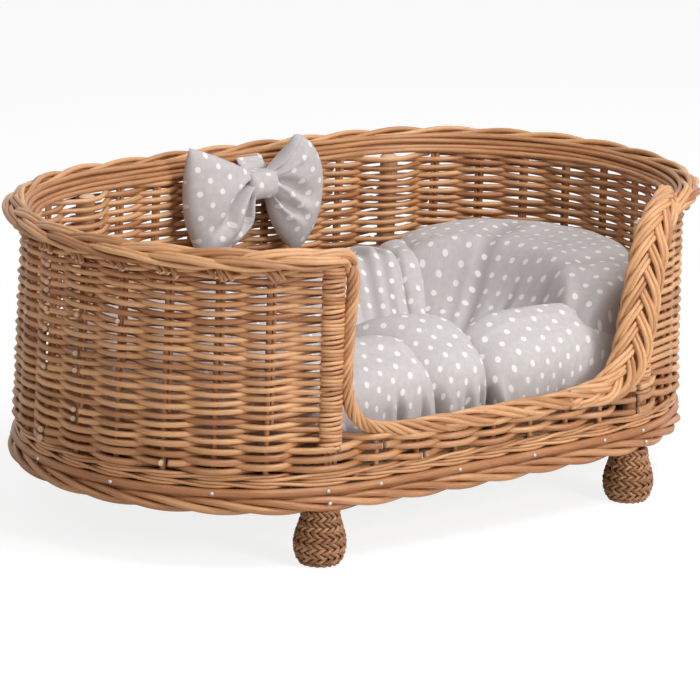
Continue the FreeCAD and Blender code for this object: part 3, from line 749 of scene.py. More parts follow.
def plait(rods, place, start, end, period, reach, lift, apart, strands):
    """Flat plait: each strand is a pair of rods side by side, which passes over and under.

    place turns lengths along the plait, across it and out of its face into points; reach is how
    far a strand swings to either side, and apart how far its rods lie from its middle."""
    t = np.linspace(start, end, int((end - start) / period * PLAIT_STEPS) + 2)
    for strand in range(strands):
        angle = 2 * math.pi * ((t - start) / period + strand / strands)
        swing = reach(t)
        across, over = swing * np.sin(angle), lift * np.sin(2 * angle)
        slope = swing * np.cos(angle) * 2 * math.pi / period
        size = np.hypot(1, slope)
        # A strand turns on edge a little where it goes round the plait's edge.
        tilt = 0.5 * np.sin(angle)
        tone = chance.uniform(0.3, 0.9)
        taper = 0.8 + 0.2 * np.clip(np.minimum(t - start, end - t) / (15 * MM), 0, 1)
        for side in (-apart, apart):
            wander = 0.35 * MM * np.sin(t / (0.03 + 0.01 * side / MM) + strand + side * 900)
            line, normal = place(
                t - side * slope / size,
                across + side / size * np.cos(tilt),
                over - side * np.sin(tilt) * np.cos(angle) * 0.6 + wander,
            )
            rods.add(line, PLAIT_ROD * taper, up=normal, tone=tone_near(tone, 0.2))


def twist_foot_border():
    """Three thick rods twisted under the board's edge, and one that fills in up to the hoop."""
    rods = Rods(10)
    middle = (foot_border_low.z + foot_border_high.z) / 2
    out_middle = foot_border_high.x - half_length - 7.9 * MM
    turns = 12
    s = np.linspace(0, around, 430, endpoint=False)
    point, normal = plan(s)
    # The three strands take dark tones as painted shade: the twist lies low under the board's edge, where
    # little light falls.
    for strand, tone in enumerate((0.2, 0.4, 0.05)):
        angle = 2 * math.pi * (turns * s / around + strand / 3)
        up, out = rope_offsets(angle, 4.7 * MM, 4.2 * MM)
        line = point + normal * (out_middle + out)[:, None]
        line[:, 2] = middle + up
        rods.add(line, 3.65 * MM, tone=tone, closed=True)
    line = point + normal * (out_middle - 3 * MM)
    line[:, 2] = (hoop_low.z + foot_border_high.z) / 2
    # The filling rod takes the darkest tone as painted shade.
    rods.add(line, 3.2 * MM, tone=0.0, closed=True)
    rods.build("foot_twist", BUFF, "basket", "willow", "foot_border")


RIM_TILT = math.radians(38)
# The rim starts RIM_RIGHT from the middle of the front and turns down, round RIM_BEND, at RIM_END.
RIM_RIGHT, RIM_END, RIM_BEND = 234 * MM, around - 195 * MM, 16 * MM
# How far out and how high the bent-down tops of the stakes run inside the rim.
RIM_CORE = ((-4.5, 284.5), (0, 288), (1.5, 293.5), (5.5, 290.5), (9, 294), (5, 298.5))


def rim_place(t, across, over):
    """The rim's plait leans, so that its face looks out and up.

    Left of the entrance it bends down behind the twist, and at the right it dips behind the plait."""
    turn = np.clip((t - RIM_END) / RIM_BEND, 0, math.pi / 2)
    point, normal = plan(np.minimum(t, RIM_END) + RIM_BEND * np.sin(turn))
    upward = sideways(normal) * np.sin(turn)[:, None]
    upward[:, 2] = np.cos(turn)
    tuck = 1 - ease(t, RIM_RIGHT, RIM_RIGHT + 55 * MM)
    middle = border_high.x - half_length - 11.2 * MM - 7 * MM * np.sin(turn) - 12 * MM * tuck
    face = normal * math.sin(RIM_TILT) + upward * math.cos(RIM_TILT)
    edge = upward * math.sin(RIM_TILT) - normal * math.cos(RIM_TILT)
    line = point + normal * middle[:, None] + edge * across[:, None] + face * over[:, None]
    fall = RIM_BEND * (1 - np.cos(turn)) + 17 * MM * tuck
    line[:, 2] += rim_height + 2.2 * MM - fall
    return line, face


def plait_rim():
    """Plait of five strands round the top of the wall, over a core of bent-down stakes."""
    rods = Rods(8)

    def reach(t):
        """The plait is narrow at both ends."""
        wide = (1 - ease(t, RIM_END - 30 * MM, RIM_END + 26 * MM)) * (
            0.1 + 0.9 * ease(t, RIM_RIGHT, RIM_RIGHT + 90 * MM)
        )
        return (1.2 + 5.4 * wide) * MM

    end = RIM_END + RIM_BEND * 1.1
    plait(rods, rim_place, RIM_RIGHT, end, 288 * MM, reach, 4.4 * MM, apart=2.4 * MM, strands=5)
    s = np.linspace(RIM_RIGHT + 34 * MM, RIM_END + 4 * MM, 300)
    for out, z in RIM_CORE:
        line = on_wall(s, out * MM, z * MM + 0.7 * MM * np.sin(s / 0.04 + out))
        rods.add(line, 2.8 * MM, tone=chance.uniform(0.05, 0.4))
    rods.build("rim_plait", BUFF, "basket", "willow", "top_border")


def trim_stake_ends():
    """Under the rim each stake's mates end in a little bunch of slanting cuts, save at the bow."""
    rods = Rods(7)
    top = WALL_TOP + 1.5 * MM
    for s, is_post in SIDE_UPRIGHTS:
        x, y, _ = plan(s)[0][0]
        under_strap = y > 0 and abs(x - KNOT[0]) < 26 * MM
        if is_post or under_strap:
            continue
        for k in range(4):
            aside = (k - 1.5) * 4.6 * MM + chance.normal(0, 1.0 * MM)
            z = top + np.array([3 * MM, 0, -chance.uniform(9, 13) * MM])
            slant = chance.uniform(4, 9) * MM
            out = np.array([8.5, 8.4, 11.6]) * MM + chance.uniform(0, 1.6) * MM
            line = on_wall(s, out, z, aside + slant * np.array([-1, -0.5, 1]))
            radius = chance.uniform(1.9, 2.4) * MM
            rods.add(line, radius, up=along_wall(s), tone=chance.uniform(0, 0.4))
    rods.build("stake_ends", BUFF, "basket", "willow")


# The entrance's edge, from its top left round to its top right: place along the wall and height,
# in millimetres.
ENTRANCE_EDGE = [
    (-222, 297), (-197, 296), (-180, 286), (-175, 266), (-179, 225), (-179.5, 168), (-166, 138),
    (-134, 125), (-60, 121), (30, 121), (110, 121), (150, 127), (175, 150),
    (187, 192), (198, 240), (209, 271), (228, 292), (256, 299), (284, 290),
]


class Edge:
    """The entrance's edge as a line with a length: where it is, and which way it runs."""

    def __init__(self):
        self.fine = smooth_run(np.array(ENTRANCE_EDGE) * MM, 1500)
        step = np.hypot(*np.diff(self.fine, axis=0).T)
        self.at = np.concatenate([[0], np.cumsum(step)])
        self.length = self.at[-1]

    def spot(self, t):
        """Place along the wall and height, at lengths along the edge."""
        return np.stack([np.interp(t, self.at, self.fine[:, k]) for k in (0, 1)])

    def __call__(self, t):
        """Place and height, and how far the edge runs and climbs there."""
        nearby = 4 * MM
        way = self.spot(np.minimum(t + nearby, self.length)) - self.spot(np.maximum(t - nearby, 0))
        return *self.spot(t), *(way / np.hypot(*way))

    def reaches(self, place):
        """Length along the sill at which the edge passes a place."""
        sill = self.fine[:, 1] < 175 * MM
        return float(np.interp(place, self.fine[sill, 0], self.at[sill]))


def trim_entrance():
    """A twist of paired rods down the left of the entrance, thicker and slacker along the sill."""
    rods = Rods(8)
    edge = Edge()
    middle = 3 * MM
    sill, end = edge.reaches(-90 * MM), edge.reaches(168 * MM)
    t = np.linspace(4 * MM, end, 420)
    s, z, run, climb = edge(t)
    grow = ease(t, sill - 70 * MM, sill + 60 * MM)
    normal = plan(s)[1]
    turns = np.cumsum(np.gradient(t) / (52 * MM + 118 * MM * grow))
    for strand in range(3):
        angle = 2 * math.pi * (turns + strand / 3)
        across, forward = rope_offsets(angle, 3.9 * MM + 3.1 * MM * grow, 3.7 * MM + 0.9 * MM * grow)
        tone = chance.uniform(0.3, 0.9)
        for pair in (-1, 1):
            lift = pair * (2.0 + 0.5 * grow) * MM
            side, front = across + lift * np.sin(angle), forward - lift * np.cos(angle)
            line = on_wall(s - climb * side, middle + front, z + run * side)
            rods.add(line, 2.25 * MM + 0.55 * MM * grow, up=normal, tone=tone_near(tone, 0.15))
    rods.add(on_wall(s, middle, z), 2.6 * MM + 1.5 * MM * grow, up=normal, tone=0.1)
    rods.build("entrance_twist", BUFF, "basket", "willow", "entrance_rope")


BRAID_TURN = math.radians(36)


def plait_entrance():
    """Broad flat plait up the right of the entrance: bands of two rods that meet in herringbone.

    It lies on the wall's edge, so its face is turned towards the opening."""
    rods = Rods(8)
    edge = Edge()
    start, full, end = edge.reaches(96 * MM), edge.reaches(172 * MM), edge.length

    def place(t, across, over):
        """The plait follows the edge, and turns its face as it climbs."""
        s, z, run, climb = edge(t)
        turned = BRAID_TURN * ease(t, start + 30 * MM, full + 10 * MM)
        side, deep = across * np.cos(turned), -across * np.sin(turned)
        forward = 3 * MM + 5 * MM * ease(t, start, full) - 9 * MM * ease(t, end - 60 * MM, end)
        forward = forward + over * np.cos(turned) + deep
        place_s = s - climb * (side + over * np.sin(turned))
        normal = plan(place_s)[1]
        face = normal * np.cos(turned)[:, None] - sideways(normal) * (np.sin(turned) * climb)[:, None]
        return on_wall(place_s, forward, z + run * side), face

    def reach(t):
        """The plait opens out as it leaves the sill, and draws in again at its top."""
        spread = ease(t, start, full + 20 * MM) * (1 - 0.62 * ease(t, end - 105 * MM, end - 30 * MM))
        return (6.5 + 9.5 * spread) * MM

    plait(rods, place, start, end, 158 * MM, reach, -4.8 * MM, apart=2.3 * MM, strands=7)
    rods.build("entrance_plait", BUFF, "basket", "willow", "entrance_braid")


FOOT_ROD, FOOT_BASE, FOOT_NECK = 1.75 * MM, 12.5 * MM, 16.2 * MM
# Share of a foot's height at which it is widest.
FOOT_BELLY = 0.38


def foot_radius(share, belly):
    """A foot's radius: round from its base out to the belly, then drawn in to the neck."""
    below = np.sqrt(np.clip(1 - (1 - share / FOOT_BELLY) ** 2, 0, 1))
    above = (1 + np.cos(math.pi * (share - FOOT_BELLY) / (1 - FOOT_BELLY))) / 2
    return np.where(
        share < FOOT_BELLY,
        FOOT_BASE + (belly - FOOT_BASE) * below,
        FOOT_NECK + (belly - FOOT_NECK) * above,
    )


def weave_feet():
    """Feet twined from thin rods: rings of two rods twisted together, every other ring reversed."""
    rings, strokes, ribs = 11, 9, 9
    turn = 2 * math.pi * np.arange(72) / 72
    for side in ("front_left", "front_right", "back_left", "back_right"):
        low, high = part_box(side + "_foot")
        belly = (high.x - low.x) / 2 - FOOT_ROD
        rods = Rods(6)

        def round_foot(reach, angle, z):
            """Points round the foot's own middle."""
            x, y = (low.x + high.x) / 2, (low.y + high.y) / 2
            return np.stack([x + reach * np.cos(angle), y + reach * np.sin(angle), z], 1)

        for k in range(rings):
            z = FOOT_ROD * 1.35 + (high.z - 2.2 * FOOT_ROD) * k / (rings - 1)
            radius = foot_radius(z / high.z, belly)
            way = 1 if k % 2 else -1
            for strand in range(2):
                angle = strokes * turn * way + math.pi * strand
                reach = radius - 0.6 * MM + FOOT_ROD * np.cos(angle)
                height = np.maximum(z + FOOT_ROD * 1.15 * np.sin(angle), FOOT_ROD + 0.05 * MM)
                line = round_foot(reach, turn + k, height)
                rods.add(line, FOOT_ROD * chance.uniform(0.92, 1.05), closed=True)
        z = np.linspace(3 * MM, high.z - 1 * MM, 10)
        reach = foot_radius(z / high.z, belly) - 3.4 * MM
        for k in range(ribs):
            angle = 2 * math.pi * k / ribs + 0.2
            rib = round_foot(reach, angle, z)
            rods.add(rib, 2.4 * MM, up=(-math.sin(angle), math.cos(angle), 0), tone=0.1)
        rods.build(side + "_woven_foot", FOOT_WILLOW, "basket", "foot_willow", side + "_foot")


# ---------------------------------------------------------------------------
# The cushion.
# ---------------------------------------------------------------------------
cushion_low, cushion_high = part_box("cushion_cover")
SIDE_SET_IN = half_length - cushion_high.x - 4 * MM
CUSHION_BACK = cushion_high.y + 5 * MM


class Lobe:
    """One stuffed lobe. It runs from a short line near the middle, between two places in
    millimetres, out to the cushion's side between two directions in degrees. Its heights above
    the board are given at the side, halfway and inside. A pleat is where it lies across the lobe,
    from -1 to 1, where it starts and ends along the lobe's section, and its depth and width. A
    squarer flank keeps the height further out; the numbers are for its first and last flank. The
    turn in degrees is how the print lies on it."""

    def __init__(self, first, last, directions, heights, turn, pleats=(), square=(3.0, 3.0)):
        self.first, self.last = np.array(first) * MM, np.array(last) * MM
        self.directions, self.heights, self.pleats = directions, heights, pleats
        self.turn, self.square = math.radians(turn), square


SIDE_PLEAT, CROWN_FOLD, INNER_FOLD = (0.12, 0.36), (0.44, 0.86), (0.5, 0.86)
MIDDLE, MIDDLE_REACH = (-8 * MM, -44 * MM), (152 * MM, 92 * MM)
# Four large lobes along the front and the right end, then seven smaller ones on round the back.
LOBES = [
    Lobe(
        (-150, -66), (-58, -112), (-140, -103), (103, 113, 96), -12,
        [(0.22, SIDE_PLEAT, 13, 6), (0.66, SIDE_PLEAT, 6, 5)], (3, 4.5),
    ),
    Lobe(
        (-122, -24), (36, -92), (-108, -82), (106, 121, 106), 6,
        [(-0.5, SIDE_PLEAT, 12, 6), (0.25, SIDE_PLEAT, 8, 6), (0.72, SIDE_PLEAT, 9, 7)], (2.3, 3.6),
    ),
    Lobe(
        (14, -78), (186, -100), (-82.5, -35), (105, 114, 92), 14,
        [(-0.82, SIDE_PLEAT, 14, 6), (0.1, SIDE_PLEAT, 3, 9), (0.7, SIDE_PLEAT, 4, 7)], (2.6, 4.2),
    ),
    Lobe(
        (142, -112), (84, 14), (-50, 45), (150, 147, 98), 32,
        [(0.28, CROWN_FOLD, 5, 16), (-0.1, (0.66, 0.9), 6, 11), (-0.5, CROWN_FOLD, 3, 20)], (2.8, 4.8),
    ),
    Lobe((96, -6), (78, 14), (36, 50), (130, 130, 104), 20),
    Lobe(
        (92, 0), (10, 10), (43, 70), (130, 134, 100), 70,
        [(-0.2, INNER_FOLD, 5, 9), (0.3, INNER_FOLD, 5, 9)],
    ),
    Lobe((40, 5), (-35, 5), (62, 102), (124, 127, 98), 100, [(0, CROWN_FOLD, 4, 12)]),
    Lobe((-15, 0), (-90, -5), (94, 139), (122, 124, 98), 20, [(0.2, CROWN_FOLD, 5, 12)]),
    Lobe(
        (-60, 0), (-90, -30), (130, 182), (120, 124, 98), 70,
        [(-0.3, CROWN_FOLD, 5, 14), (0.4, CROWN_FOLD, 4, 10)],
    ),
    Lobe((-80, -20), (-96, -50), (174, 214), (116, 120, 98), 140, [(0.1, CROWN_FOLD, 5, 12)]),
    Lobe((-90, -35), (-110, -72), (207, 226), (108, 114, 96), 40),
]


def cushion_side(direction):
    """Point of the cushion's outline in each direction from the bed's middle."""
    point, normal = plan(np.linspace(0, around, 3000, endpoint=False))
    edge = point - normal * SIDE_SET_IN
    back = edge[:, 1] > 0
    edge[back, 1] *= CUSHION_BACK / (half_width - SIDE_SET_IN)
    angle = np.arctan2(edge[:, 1], edge[:, 0])
    order = np.argsort(angle)
    far = np.hypot(edge[:, 0], edge[:, 1])
    reach = np.interp(direction, angle[order], far[order], period=2 * math.pi)
    return np.stack([reach * np.cos(direction), reach * np.sin(direction)], 1)


def hump(distance):
    """A soft hump, 1 at its middle."""
    return np.exp(-(distance**2))


def turn_print(x, y, angle):
    """Places on the cloth, turned by an angle."""
    return x * math.cos(angle) - y * math.sin(angle), x * math.sin(angle) + y * math.cos(angle)


def lobe_mesh(lobe, number):
    """A closed stuffed lobe: one section round it, carried across and drawn in at both flanks.

    Gives its points, faces, places on the cloth with how much painted shade each point gets, and which
    faces lie lowest and take the dark grey cloth."""
    rows, columns = 190, 84
    across = np.sin(np.linspace(-math.pi / 2, math.pi / 2, columns)) * 0.9985
    share = ((across + 1) / 2)[:, None]
    inner = lobe.first + (lobe.last - lobe.first) * share
    start, stop = np.radians(lobe.directions)
    outer = cushion_side(start + (stop - start) * share[:, 0])
    length = float(np.hypot(*(outer - inner)[columns // 2]))
    side, middle, inside = (h * MM for h in lobe.heights)
    # The section round it: out along the board, up the side, over the crown and down inside.
    profile = [
        (0.3 * length, 0), (length - 34 * MM, 0), (length - 15 * MM, 1.5 * MM),
        (length - 5 * MM, 17 * MM), (length, 46 * MM), (length - 4 * MM, 76 * MM),
        (0.96 * length - 10 * MM, side - 12 * MM), (0.86 * length - 18 * MM, side),
        (0.58 * length, 0.35 * side + 0.65 * middle), (0.37 * length, middle),
        (0.18 * length, inside), (0.03 * length, inside * 0.68),
        (-0.04 * length, inside * 0.36), (0.05 * length, 8 * MM),
    ]
    loop = smooth_run(profile, rows, closed=True)
    square = np.where(across < 0, *lobe.square)
    draw = (1 - np.abs(across) ** square) ** (1 / square)
    heart = np.array([0.5 * length, 44 * MM])
    along = heart[0] + (loop[:, :1] - heart[0]) * (0.3 + 0.7 * draw)
    rise = heart[1] + (loop[:, 1:] - heart[1]) * draw
    far = along / length
    width = (np.linalg.norm(outer - outer[columns // 2], axis=1) * np.sign(across))[None]
    # Gathers: upright at the foot of the side, and fine ones that run in to the middle.
    wave = np.cos(width / (6.5 * MM) + number) + 0.7 * np.cos(width / (3.9 * MM) + 2 * number)
    wave = wave * (0.35 + 0.65 * np.abs(across[None]) ** 1.5)
    foot = hump((rise - 34 * MM) / (24 * MM)) * (far > 0.8)
    near = hump((far - 0.05) / 0.3) * (rise > 50 * MM)
    ripple = crumple(width / (34 * MM), along / (52 * MM), 11 + number)
    along = along - wave * foot * 2.4 * MM + ripple * foot * 4 * MM
    rise = rise + (wave * near * 0.6 * MM + ripple * 2.2 * MM) * draw * (rise > 25 * MM)
    course = np.linspace(0, 1, rows, endpoint=False)[:, None]
    # Painted shade: the cloth is darkened near both flanks, in the creases where the lobes press
    # together.
    tuck_shade = np.abs(across[None]) ** 14 + 0 * rise
    for spot, (begin, finish), depth, wide in lobe.pleats:
        lies = spot + 0.08 * np.sin(9 * course + number)
        gap = (across[None] - lies) * np.abs(width).max() / (wide * MM)
        # A groove with a soft lip on both sides, cut into the side low down and into the crown above.
        groove = hump(gap) - 0.35 * hump(np.abs(gap) - 1.7)
        groove = groove * ease(course, begin, begin + 0.08) * (1 - ease(course, finish - 0.12, finish))
        over_crown = np.clip((course - 0.3) / 0.14, 0, 1)
        along = along - depth * MM * groove * (1 - over_crown)
        rise = rise - depth * MM * groove * over_crown
        # Painted shade also deepens in each pleat's groove.
        tuck_shade = tuck_shade + np.clip(groove, 0, 1) * min(depth / 10, 1)
    far = np.minimum(along / length, 1.01)
    x = inner[:, 0] + (outer - inner)[:, 0] * far
    y = inner[:, 1] + (outer - inner)[:, 1] * far
    z = cushion_low.z + np.maximum(rise, 0)
    grid = np.stack([x, y, z], 2)
    # The print lies flat on the lobe's crown, and follows the cloth down from there.
    crown = (inner + (outer - inner) * 0.55)[columns // 2]
    plan_x, plan_y = x - crown[0], y - crown[1]
    drop = np.maximum(z.max() - 3 * MM - z, 0)
    flat = np.hypot(plan_x, plan_y) + 1e-6
    stretch = np.sqrt(flat**2 + 1.2 * drop**2) / flat
    print_x, print_y = turn_print(plan_x * stretch, plan_y * stretch, lobe.turn)
    cloth = np.stack(
        [print_x + 7 * MM * number, print_y + 11 * MM * number, np.minimum(tuck_shade, 1)], 2
    )
    low = (np.maximum(z, np.roll(z, -1, 0)) < cushion_low.z + 9 * MM)[:, :-1]
    quads = skin_faces(rows, columns, end_to_end=True, side_to_side=False)
    return grid.reshape(-1, 3), quads, cloth.reshape(-1, 3), low.ravel()


def sunken_middle():
    """The cushion's low middle, drawn in under the lobes' inner ends."""
    columns = 96
    turn = np.linspace(0, 2 * math.pi, columns, endpoint=False)[None]
    top = np.linspace(0.02, 1, 40)[:, None]
    share = np.concatenate([top, top[::-1]])
    rise = np.concatenate([14 * MM + 60 * MM * (1 - top**4) ** 0.5, 3 * MM + 0 * top])
    drawn_in = 1.2 * MM * np.sin(11 * turn) * share * (rise > 14 * MM)
    x = MIDDLE[0] + MIDDLE_REACH[0] * share * np.cos(turn)
    y = MIDDLE[1] + MIDDLE_REACH[1] * share * np.sin(turn)
    grid = np.stack([x, y, cushion_low.z + rise + drawn_in], 2)
    quads = skin_faces(len(share), columns, flip=True)
    ends = np.stack([np.arange(columns), (len(share) - 1) * columns + np.arange(columns)[::-1]])
    # Painted shade in the third place: darker towards the middle's rim, where it runs in under the lobes.
    cloth = np.stack([x, y, 0.3 * share**3 + 0 * x], 2)
    return grid.reshape(-1, 3), quads, ends, cloth.reshape(-1, 3)


def stuff_cushion():
    """Lobed cotton cushion: stuffed lobes press against each other round a sunken middle."""
    grid, quads, ends, mark = sunken_middle()
    points, faces, cloth, low = [grid], [quads, ends], [mark], [np.zeros(len(quads) + 2, bool)]
    first = len(grid)
    for number, lobe in enumerate(LOBES):
        grid, quads, mark, underside = lobe_mesh(lobe, number)
        points.append(grid)
        faces.append(quads + first)
        cloth.append(mark)
        low.append(underside)
        first += len(grid)
    marks = {"cloth_at": np.concatenate(cloth)}
    piece = make_mesh("dotted_cushion", np.concatenate(points), faces, marks)
    finish_piece(piece, COTTON, "cushion", "dotted_cotton", "cushion_cover", "cushion_filling")
    piece.data.materials.append(DARK_UNDERSIDE)
    piece.data.polygons.foreach_set("material_index", np.concatenate(low).astype(np.int32))


def crumple(a, b, seed):
    """Gentle repeatable unevenness over two coordinates, about -1 to 1."""
    dice = np.random.default_rng(seed)
    total = 0 * a
    for k in range(3):
        for _ in range(3):
            along, over = dice.normal(0, 1.9**k, 2)
            total = total + np.sin(along * a + over * b + dice.uniform(0, 6.3)) / 1.8**k
    return total / 4


# ---------------------------------------------------------------------------
# The bow.
# ---------------------------------------------------------------------------
knot_low, knot_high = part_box("bow_knot")
strap_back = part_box("bow_strap")[1].y
# The knot's middle.
KNOT = np.array([(knot_low.x + knot_high.x) / 2 - 4.5 * MM, (knot_low.y + knot_high.y) / 2, 273 * MM])
# A wing's outer edge from its top corner to its bottom corner, in millimetres from the knot.
LEFT_EDGE = [(-90, 45), (-94, 22), (-95, -3), (-92, -30), (-83, -53), (-73, -69), (-58, -71), (-39, -66)]
RIGHT_EDGE = [(46, 46), (58, 42), (73, 26), (81, 4), (81, -28), (74, -50), (63, -68), (51, -79)]
# Folds that run out from the knot: where they start and end from the wing's top edge (0) to its
# bottom edge (1), how wide and deep they are, and where along the wing they begin and end.
LEFT_FOLDS = [
    (0.30, 0.60, 0.062, 13, 0, 0.6), (0.62, 0.84, 0.05, 11, 0, 0.46), (0.12, 0.2, 0.1, 2, 0, 0.7),
]
RIGHT_FOLDS = [
    (0.42, 0.56, 0.06, 11, 0.1, 0.6), (0.80, 0.72, 0.045, 10, 0, 0.55), (0.16, 0.12, 0.04, 7, 0.1, 0.8),
]


def sew_wing(name, side, edge, folds, top_bow, bottom_bow, node):
    """Padded wing of the bow: gathered at the knot, swelling outwards, with folds that run out.

    top_bow and bottom_bow are how far its upper and lower edges bow out, in millimetres."""
    steps, half = 60, 48
    # r runs out from the knot, and v from the wing's top edge down to its bottom edge.
    r = np.linspace(0, 1, steps)[:, None]
    v = glide(0, 1, np.linspace(0, 1, half))[None]
    rim = smooth_run(np.array(edge) * MM, half)
    rim_x, rim_z = (np.interp(v, np.linspace(0, 1, half), rim[:, c]) for c in (0, 1))
    throat_x, throat_z = side * 10 * MM, (12 - 24 * v) * MM
    arch = 4 * r * (1 - r)
    upper, lower = arch * (1 - v) ** 3 * MM, arch * v**3 * MM
    x = throat_x + (rim_x - throat_x) * r + lower * bottom_bow[0]
    z = throat_z + (rim_z - throat_z) * r + upper * top_bow + lower * bottom_bow[1]
    swell = np.sin(np.pi / 2 * np.clip(r / 0.55, 0, 1))
    deep = (7 + 10 * swell) * np.clip(1 - r**5, 0, 1) ** 0.5 + 1.2
    lens = (1 - np.abs(2 * v - 1) ** 3) ** 0.5
    front = deep * lens
    for start, end, wide, depth, first, last in folds:
        along = np.clip((r - first) / (last - first), 0, 1)
        gap = (v - start - (end - start) * along) / wide
        fade = np.clip((r - first) * 12 + 0.3, 0, 1) * np.clip((last + 0.25 - r) / 0.35, 0, 1)
        front = front - depth * fade * (hump(gap) - 0.35 * hump(gap - 1.7))
    front = front + 0.8 * crumple(r * 6, v * 8, 3)
    front = np.maximum(front, -0.4 * deep * lens)
    back = 0.85 * deep * lens
    faces = [
        np.stack([KNOT[0] + x, KNOT[1] + depth * MM + 0 * x, KNOT[2] + z], 2) for depth in (-front, back)
    ]
    ring = np.concatenate([faces[0], faces[1][:, -2:0:-1]], 1)
    count = ring.shape[1]
    last = (steps - 1) * count
    n = np.arange(1, half - 2)
    cap = np.stack([last + n, last + count - n, last + count - n - 1, last + n + 1], 1)
    corners = [
        np.array([[last, last + count - 1, last + 1]]),
        np.array([[last + half - 2, last + half, last + half - 1]]),
    ]
    blocks = [skin_faces(steps, count, flip=True), cap, *corners]
    if side > 0:
        blocks = [block[:, ::-1] for block in blocks]
    flat = ring.reshape(-1, 3)
    print_x, print_y = turn_print(flat[:, 0], flat[:, 2], 0.06 * side)
    cloth = np.stack([print_x + (4 + 2 * side) * MM, print_y, 0 * print_x], 1)
    piece = make_mesh(name, flat, blocks, {"cloth_at": cloth})
    finish_piece(piece, COTTON, "bow", "dotted_cotton", node)


def squared(wave):
    """A sine or cosine made a little squarer."""
    return np.sign(wave) * np.abs(wave) ** 0.8


def wrap_knot():
    """Band of doubled cloth round the middle of the bow, a little pinched, with soft edges."""
    across, ring = 26, 56
    t = np.linspace(-1, 1, across)[:, None]
    turn = np.linspace(0, 2 * math.pi, ring, endpoint=False)[None]
    edge = np.clip(1 - np.abs(t) ** 7, 0, 1) ** 0.5
    pinch = 1 + 0.06 * t**2
    x = 17.5 * MM * t * (1 + 0.03 * np.cos(turn * 2))
    deep = (8.0 + 6.6 * edge) * pinch * MM
    tall = (8.5 + 6.5 * edge) * pinch * MM
    crease = 0.6 * MM * np.sin(3 * turn + 2.0) * np.cos(2.2 * t)
    y = -squared(np.cos(turn)) * (deep + crease)
    z = squared(np.sin(turn)) * (tall + crease)
    grid = np.stack([KNOT[0] + x + 0 * y, KNOT[1] + y, KNOT[2] - 2.5 * MM + z], 2)
    grid = np.concatenate([grid, closing_lip(grid)], 0)
    rows = grid.shape[0]
    flat = grid.reshape(-1, 3)
    girth = np.tile(turn[0] * 16 * MM, rows)
    cloth = np.stack([flat[:, 0] + 4 * MM, girth + 10.5 * MM, 0 * girth], 1)
    piece = make_mesh("bow_band", flat, [skin_faces(rows, ring)], {"cloth_at": cloth})
    finish_piece(piece, COTTON, "bow", "dotted_cotton", "bow_knot")


def closing_lip(grid):
    """Inner face of a band, so that it is closed: back through its middle from end to start."""
    middle = grid.mean(1, keepdims=True)
    inner = middle + (grid - middle) * 0.55
    rows = inner[::-1][[0, -1]]
    return np.concatenate([rows, grid[:1]], 0)


def loop_strap():
    """Strap of cotton over the top border, with its two ends sewn behind the knot."""
    half_wide, thick, inside = 16 * MM, 1.3 * MM, 200.5 * MM
    # It passes under the rim's uppermost strands.
    reach, height = (strap_back - inside) / 2 - thick, 8.5 * MM
    middle_y, middle_z = inside + thick + reach, 288.5 * MM
    behind = np.array([knot_high.y + 0.2 * MM, 0])
    turn = np.linspace(math.radians(205), math.radians(-190), 60)
    loop = np.stack([middle_y + reach * np.cos(turn), middle_z + height * np.sin(turn)], 1)
    tail_out = behind + np.array([(1.6, 266), (1.6, 272), (2, 279)]) * MM
    tail_in = behind + np.array([(0, 286), (0, 277), (0, 266)]) * MM
    line = smooth_run(np.concatenate([tail_out, loop, tail_in]), 170)
    run = np.gradient(line, axis=0)
    run /= np.linalg.norm(run, axis=1, keepdims=True)
    out = np.stack([-run[:, 1], run[:, 0]], 1)
    along = np.concatenate([[0], np.cumsum(np.linalg.norm(np.diff(line, axis=0), axis=1))])
    across = np.linspace(-1, 1, 9)
    rings = []
    for way, order in ((0.5, across), (-0.5, across[::-1])):
        for a in order:
            spot = line + out * (thick * way)
            edge = a * half_wide * (1 + 0.02 * np.sin(along / 0.02))
            rings.append(np.stack([KNOT[0] + 5 * MM + edge, spot[:, 0], spot[:, 1]], 1))
    grid = np.stack(rings, 1)
    steps, count = grid.shape[:2]
    n = np.arange(count // 2 - 1)
    ends = np.stack([n, count - 1 - n, count - 2 - n, n + 1], 1)
    blocks = [skin_faces(steps, count), ends[:, ::-1], (steps - 1) * count + ends]
    flat = grid.reshape(-1, 3)
    cloth = np.stack([flat[:, 0] + 2 * MM, np.repeat(along, count) + 6 * MM, 0 * flat[:, 0]], 1)
    piece = make_mesh("bow_loop", flat, blocks, {"cloth_at": cloth})
    finish_piece(piece, COTTON, "bow", "dotted_cotton", "bow_strap")


def tie_bow():
    """Two wings, the band round their middle and the strap that holds them to the rim."""
    sew_wing("bow_wing_left", -1, LEFT_EDGE, LEFT_FOLDS, 2, (16, -2), "bow_left_wing")
    sew_wing("bow_wing_right", 1, RIGHT_EDGE, RIGHT_FOLDS, -4, (-7, -5), "bow_right_wing")
    wrap_knot()
    loop_strap()


